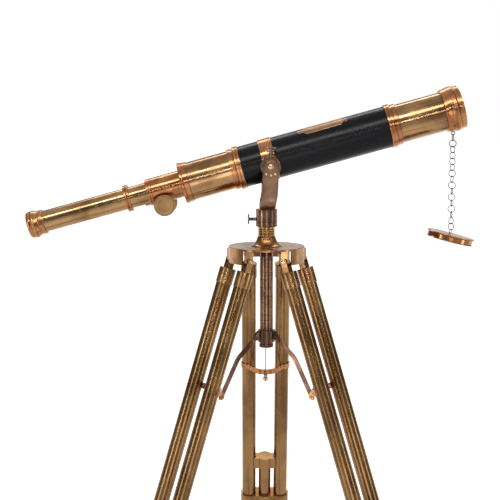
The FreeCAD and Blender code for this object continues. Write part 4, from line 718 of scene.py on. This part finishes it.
# %% Leg tubes, feet and wing screws
def leg_axes(leg, sideways):
    """The axes of a leg, moved sideways to one of its two tubes."""
    return moved_axes(LEG[leg], 0.0, 0.0, sideways)


leg_length = float(LEG["back"][0][2] / LEG["back"][1][2]) / MM


def rubber_foot(leg):
    """A turned tip with three ribs, whose points below the floor are lifted onto it: z = max(z, 0)."""
    sole, end, bore = -12.0 - leg_length, 19.0 - leg_length, 15.05
    outline = [(sole, 0), (sole, 20.0), (end + 4.0, 19.0)]
    for rib in (end + 10.0, end + 16.0, end + 22.0):
        outline += [(rib - 1.6, 18.7), (rib - 0.8, 17.6), (rib + 0.8, 17.6), (rib + 1.6, 18.5)]
    outline += [(end + 40.0, 17.8), (end + 42.0, 17.2), (end + 42.0, bore), (end, bore), (end, 0)]
    grid, uv, wear = lathe(outline, LEG[leg], 0.5, 72, False)
    grid[..., 2] = np.maximum(grid[..., 2], 0.0)
    return grid, uv, wear


TUBE_APART = 38.85
for leg in LEGS:
    tubes = [lathe(pipe_outline(-700.0, -27.0, LEG_R, 15.65), leg_axes(leg, side * TUBE_APART), 0.3, 72)
             for side in (-1, 1)]
    surface(leg + "_leg_tubes_drawn", tubes, leg_tube, leg + "_leg", [leg + "_leg_tubes"])
    surface(leg + "_foot_moulded", [rubber_foot(leg)], rubber, leg + "_lower_leg",
            [leg + "_leg_foot"])


def wing_screw(place, axis, stem):
    """A thin bar on a threaded stem. The thread is a ripple of the radius along the stem that
    moves on by one pitch with each turn: r = 3.55 - 0.35 cos(2 pi s / pitch - angle)."""
    wing = UPWARD if abs(axis[2]) < 0.5 else np.array([1.0, 0.0, 0.0])
    wing = wing - axis * (wing @ axis)
    wing /= np.linalg.norm(wing)
    third = np.cross(axis, wing)
    pitch = stem / 5
    s = np.linspace(0.2, stem, 60)[:, None]
    a = np.linspace(0, 2 * math.pi, 33)[None, :]
    r = 3.55 - 0.35 * np.cos(2 * math.pi * s / pitch - a)
    r = np.vstack([0 * a, r, 0 * a])
    s = np.vstack([s[:1], s, s[-1:]]) + 0 * a
    spoke = np.cos(a)[..., None] * wing + np.sin(a)[..., None] * third
    grid = place + MM * (s[..., None] * axis + r[..., None] * spoke)
    uv = np.stack([MM * 3.5 * a + 0 * s, MM * s], -1)
    head = place + MM * (stem + 1.8) * axis
    bar = [(-11.4, 0)] + bow((-11.4, 0), (-10.9, 1.3), (-9.6, 1.8), 3)
    bar += [(-4.0, 1.5), (-2.6, 1.8), (2.6, 1.8), (4.0, 1.5), (9.6, 1.8)]
    bar += bow((9.6, 1.8), (10.9, 1.3), (11.4, 0), 3)
    boss = [(-2.0, 0), (-2.0, 3.8), (1.2, 3.8), (1.8, 2.8), (1.8, 0)]
    ends = [lathe(bar, (head, wing, axis), 0.3, 32, False), lathe(boss, (head, axis, wing), 0.3, 32, False)]
    return [(grid, uv, 0.3 + 0 * s)] + ends


for name, node, body, stem in (
    ("tilt_lock_wing", "tilt_lock_screw", "tilt_lock", 15.5),
    ("pan_lock_wing", "pan_lock_screw", "pan_lock", 14.0),
    ("back_lock_wing", "back_leg_lock_screw", "back_leg_lock", 12.0),
    ("left_lock_wing", "left_leg_lock_screw", "left_leg_lock", 12.0),
    ("right_lock_wing", "right_leg_lock_screw", "right_leg_lock", 12.0),
):
    turn = name.replace("_wing", "_turn")
    surface(name, wing_screw(joint_place(turn), joint_axis(turn), stem), steel, body, [node])

# %% [markdown]
# ## Band, nameplate and lenses
# The clamp band grips the covering and carries the pivots on two round pads. The nameplate is a thin
# plate bent round the barrel. It is left blank, with a raised border: its outline is a width that
# changes along it, and the border is where a point lies near the edge.

# %% Clamp band and nameplate
band_half = [(10.0, 47.2), (10.6, 46.8), (11.2, 47.2), (13.4, 47.2), (14.3, 46.9), (14.3, ON_COVER)]
band_outline = [(-station, radius) for station, radius in band_half[::-1]] + band_half
pads = [lathe(pipe_outline(40.0, 47.4, 12.0, 4.05), (tilt_axis_at, side * ACROSS, above), 0.5, 64)
        for side in (-1, 1)]
surface("clamp_band_turned", [lathe(band_outline, TUBE, 0.4, 128)] + pads, coppery,
        "spyglass", ["clamp_band"])


def nameplate(station=131.0, turn=28.5):
    """Half width w(u) of the outline, then a closed loop over the plate's top and back under it.

    w is 12.5 along the panel, bitten by circles of 4.5 at its corners, 4.8 along the necks and
    the half circle sqrt(36 - (|u| - 51)^2) at the ends. The plate lies at radius R + height, and
    its height falls by 0.4 inside the border and by 0.35 at its outer edge.
    """
    u = 57.0 * np.sin(np.linspace(-1, 1, 321) * math.pi / 2)
    distance = np.abs(u)
    width = np.where(distance < 39.5, 12.5, 12.5 - np.sqrt(np.maximum(4.5 ** 2 - (distance - 44.0) ** 2, 0)))
    lobe = np.sqrt(np.maximum(36.0 - (distance - 51.0) ** 2, 0))
    width = np.where(distance < 44.0, width, np.where(distance < 51.0, np.maximum(4.8, lobe), lobe))
    v = np.sin(np.linspace(-1, 1, 49) * math.pi / 2)
    top = width[:, None] * v
    to_edge = width[:, None] - np.abs(top)
    inside = np.clip((to_edge - 1.6) / 0.5, 0, 1) * np.clip((41.0 - distance[:, None]) / 0.5, 0, 1)
    height = 1.2 - 0.4 * inside - 0.35 * np.clip(1 - to_edge / 0.6, 0, 1)
    loop = np.hstack([top, top[:, ::-1], top[:, :1]])
    rise = np.hstack([height, 0 * height + 0.03, height[:, :1]])
    radius, turned = ON_COVER + rise, math.radians(turn) + loop / ON_COVER
    origin, axis, side = TUBE
    spoke = np.cos(turned)[..., None] * side - np.sin(turned)[..., None] * ACROSS
    grid = origin + MM * ((station + u)[:, None, None] * axis + radius[..., None] * spoke)
    wear = np.clip(1 - np.abs(width[:, None] - np.abs(loop) - 1.0) / 1.2, 0, 1) * (rise > 0.5)
    return grid, MM * np.stack([loop, u[:, None] + 0 * loop], -1), wear


surface("blank_nameplate", [nameplate()], plate_dull, "spyglass", ["nameplate"])


# %% Lenses
def lens(back, front, radius, bulge_back, bulge_front):
    """A lens between two stations. Each face bulges: it is a parabola through 0.3 of its bulge at
    0.55 of the radius."""
    rim_back, rim_front = back + bulge_back, front - bulge_front
    outline = [(back, 0)] + bow((back, 0), (back + bulge_back * 0.3, radius * 0.55), (rim_back, radius), 10)
    outline += [(rim_front, radius)]
    outline += bow((rim_front, radius), (front - bulge_front * 0.3, radius * 0.55), (front, 0), 10)
    return lathe(outline, TUBE, 0.1, 72, False)


objective = lens(405.5, 416.5, 41.8, 0.6, 1.8)
eye_lens = lens(-526.1, -520.1, 12.0, 1.5, 1.5)
field_lens = lens(-453.1, -447.3, 22.1, 1.5, 1.5)
relay_lens = lens(-161.4, -154.6, 22.1, 1.7, 1.7)
surface("objective_glass", [objective], glass, "spyglass", ["objective_lens"])
surface("draw_glass", [eye_lens, field_lens, relay_lens], glass, "draw", ["draw_lenses"])
surface("draw_inside", [lathe(pipe_outline(-445.0, -166.0, 22.18, 21.7), TUBE, 0.1, 48)], soot,
        "draw")

# %% [markdown]
# ## Chain and dust cap
# The chain is round rings, each turned about a quarter against the one above, and it twists as it
# hangs. A ring is a circle carried round a circle: p = centre + (R + r cos b) (cos a x + sin a z)
# + r sin b y, where R is the ring's radius and r the wire's.

# %% Chain and dust cap
def ring(centre, normal, big, sides=40, around=14):
    """A wire ring of radius big about centre, in the plane across the normal."""
    other = UPWARD - normal * (UPWARD @ normal)
    third = np.cross(normal, other)
    a = np.linspace(0, 2 * math.pi, sides + 1)[:, None]
    b = np.linspace(0, 2 * math.pi, around + 1)[None, :]
    reach = big + 0 * a + WIRE_R * np.cos(b)
    spoke = np.cos(a)[..., None] * other + np.sin(a)[..., None] * third
    grid = centre + MM * (reach[..., None] * spoke + (WIRE_R * np.sin(b) + 0 * a)[..., None] * normal)
    return grid[:, ::-1], MM * np.stack([big * a + 0 * b, WIRE_R * b + 0 * a], -1), 0.25 * np.cos(b) + 0 * a


ALONG = np.array([1.0, 0.0, 0.0])
wire_at = joint_place("chain_upper_swing")
eye_centre = wire_at + EYE_RING_R * MM * UPWARD
stud_axes = (wire_at + 2 * EYE_RING_R * MM * UPWARD, UPWARD, ALONG)
stud = lathe([(0.0, 0), (0.0, 1.6), (3.0, 1.6), (3.2, 3.0), (4.6, 3.2), (4.6, 0)], stud_axes, 0.3, 32, False)
surface("chain_eye_wire", [ring(eye_centre, ACROSS, EYE_RING_R, 32), stud], wire_metal,
        "spyglass", ["chain_eye"])

link_lift = 1.9
link_twist = (0, 0, 30, 30, 42, 42, 58, 60, 75, 90, 90, 90, 90, 90, 130, 130)


def link_normal(index):
    """Normal of a link: (cos a, sin a, 0), where a = 90 (index mod 2) + its twist, in degrees."""
    angle = math.radians(90 * (index % 2) + link_twist[min(index, len(link_twist) - 1)])
    return np.array([math.cos(angle), math.sin(angle), 0.0])


place, index = wire_at.copy(), 0
for part, count in (("chain_upper", 5), ("chain_middle", 7), ("chain_lower", 4)):
    links = []
    for _ in range(count):
        centre = place + MM * (link_lift - LINK_R) * UPWARD
        links.append(ring(centre, link_normal(index), LINK_R))
        place = place - LINK_PITCH * MM * UPWARD
        index += 1
    surface(part + "_links", links, wire_metal, part, [part])

cap_at = joint_place("cap_swing")
hang = math.radians(14.0)
cap_up = np.array([math.sin(hang), 0.0, math.cos(hang)])
cap_right = np.cross(ACROSS, cap_up)
CAP = (cap_at + 2.4 * MM * cap_right, cap_up, ACROSS)
cap_bore, cap_skirt = 47.15, 49.55
cap = [(-23.5, cap_bore), (-23.5, 50.2), (-22.7, 51.0)]
cap += bow((-22.7, 51.0), (-21.9, 50.3), (-21.1, cap_skirt), 3)
cap += [(-11.7, cap_skirt), (-10.9, 52.2), (-9.3, 53.0), (-8.5, 52.2)]
cap += [(-8.5, 0), (-10.9, 0), (-10.9, cap_bore)]
cap_normal = link_normal(index)[0] * cap_right + link_normal(index)[1] * ACROSS
cap_wire = ring(cap_at - 2.5 * MM * cap_up, cap_normal, CAP_RING_R, 32)
cap_stud = lathe([(-9.4, 0), (-9.4, 1.6), (-6.9, 1.6), (-6.9, 0)], (cap_at, cap_up, ACROSS), 0.2, 24, False)
surface("dust_cap_turned", [lathe(cap, CAP, 0.5, 144), cap_wire, cap_stud], coppery,
        "dust_cap", ["dust_cap"])

# %% [markdown]
# ## Camera, light and floor
# The camera stands level with the tube and looks down a little. Metal shows what is round it, so
# the studio matters more than any colour: wide soft lights overhead, tall soft boxes at both
# sides and a low panel in front for the long streaks on the legs, and a darker room between them,
# which gives the tubes their dark sides. The room is bright behind the tripod, where the flat top
# of the hub mirrors it. The floor is plain and pale, and glows towards the back.

# %% Camera
camera_data = bpy.data.cameras.new("camera")
camera_data.sensor_width = 36.0
camera_data.lens = 82.8
camera_data.clip_end = 200.0
camera = bpy.data.objects.new("camera", camera_data)
camera.location = (-0.0363, -2.515, hub_top + 0.307)
camera.rotation_euler = (math.radians(90 - 7.17), 0, 0)
bpy.context.scene.collection.objects.link(camera)
bpy.context.scene.camera = camera


# %% Studio
def soft_box(name, place, target, size, power):
    """A rectangular white light of so many watts that faces the target."""
    light = bpy.data.lights.new(name, "AREA")
    light.shape, light.size, light.size_y = "RECTANGLE", size[0], size[1]
    light.energy = power
    box = bpy.data.objects.new(name, light)
    box.location = place
    towards = np.array(target) - np.array(place)
    box.rotation_euler = Vector(towards.tolist()).to_track_quat("-Z", "Y").to_euler()
    bpy.context.scene.collection.objects.link(box)


soft_box("overhead", (0.0, -1.9, 3.1), (0.0, 0.0, 1.4), (3.4, 0.36), 38.0)
soft_box("top_back", (0.0, 1.6, 3.4), (0.0, 0.0, 1.4), (3.0, 0.5), 22.0)
soft_box("left_box", (-2.3, -1.7, 1.3), (0.0, 0.0, 1.1), (0.34, 2.4), 14.0)
soft_box("right_box", (2.5, -1.2, 1.3), (0.0, 0.0, 1.1), (0.34, 2.4), 10.0)
soft_box("front_strip", (0.1, -3.6, 2.1), (0.0, 0.0, 1.3), (1.9, 0.1), 9.0)
soft_box("front_panel", (0.15, -3.2, 0.6), (0.0, 0.0, 0.8), (0.9, 1.1), 6.5)

world = bpy.data.worlds.new("studio")
bpy.context.scene.world = world
world.use_nodes = True
tree = world.node_tree
tree.nodes.clear()
direction = add(tree, "ShaderNodeTexCoord").outputs["Generated"]
split = add(tree, "ShaderNodeSeparateXYZ", Vector=direction)
room = span(tree, split.outputs["Z"], 0.1, 0.95, 0.12, 0.6)
behind = span(tree, split.outputs["Y"], 0.8, 0.99, 0.0, 0.8)
room = combine(tree, "MAXIMUM", room, behind)
around = add(tree, "ShaderNodeBackground", Color=(0.98, 0.99, 1.0, 1.0), Strength=room)
backdrop = add(tree, "ShaderNodeBackground", Color=(1.0, 1.0, 1.0, 1.0), Strength=1.0)
seen = add(tree, "ShaderNodeLightPath").outputs["Is Camera Ray"]
both = add(tree, "ShaderNodeMixShader", i0=seen, i1=around.outputs[0], i2=backdrop.outputs[0])
add(tree, "ShaderNodeOutputWorld", Surface=both.outputs[0])

floor_mesh = bpy.data.meshes.new("floor")
reach = 40
corners = [(-reach, -reach, 0), (reach, -reach, 0), (reach, reach, 0), (-reach, reach, 0)]
floor_mesh.from_pydata(corners, [], [(0, 1, 2, 3)])
floor = bpy.data.objects.new("floor", floor_mesh)
floor_material, floor_tree, floor_shader = blank("pale_floor", Roughness=0.9)
floor_shader.inputs["Base Color"].default_value = (0.9, 0.9, 0.9, 1.0)
floor_shader.inputs["Emission Color"].default_value = (1.0, 1.0, 1.0, 1.0)
floor_place = add(floor_tree, "ShaderNodeTexCoord").outputs["Object"]
floor_split = add(floor_tree, "ShaderNodeSeparateXYZ", Vector=floor_place)
floor_glow = span(floor_tree, floor_split.outputs["Y"], 0.6, 2.2, 0.0, 0.8)
floor_tree.links.new(floor_glow, floor_shader.inputs["Emission Strength"])
floor_mesh.materials.append(floor_material)
bpy.context.scene.collection.objects.link(floor)
bpy.context.scene.view_settings.view_transform = "Standard"
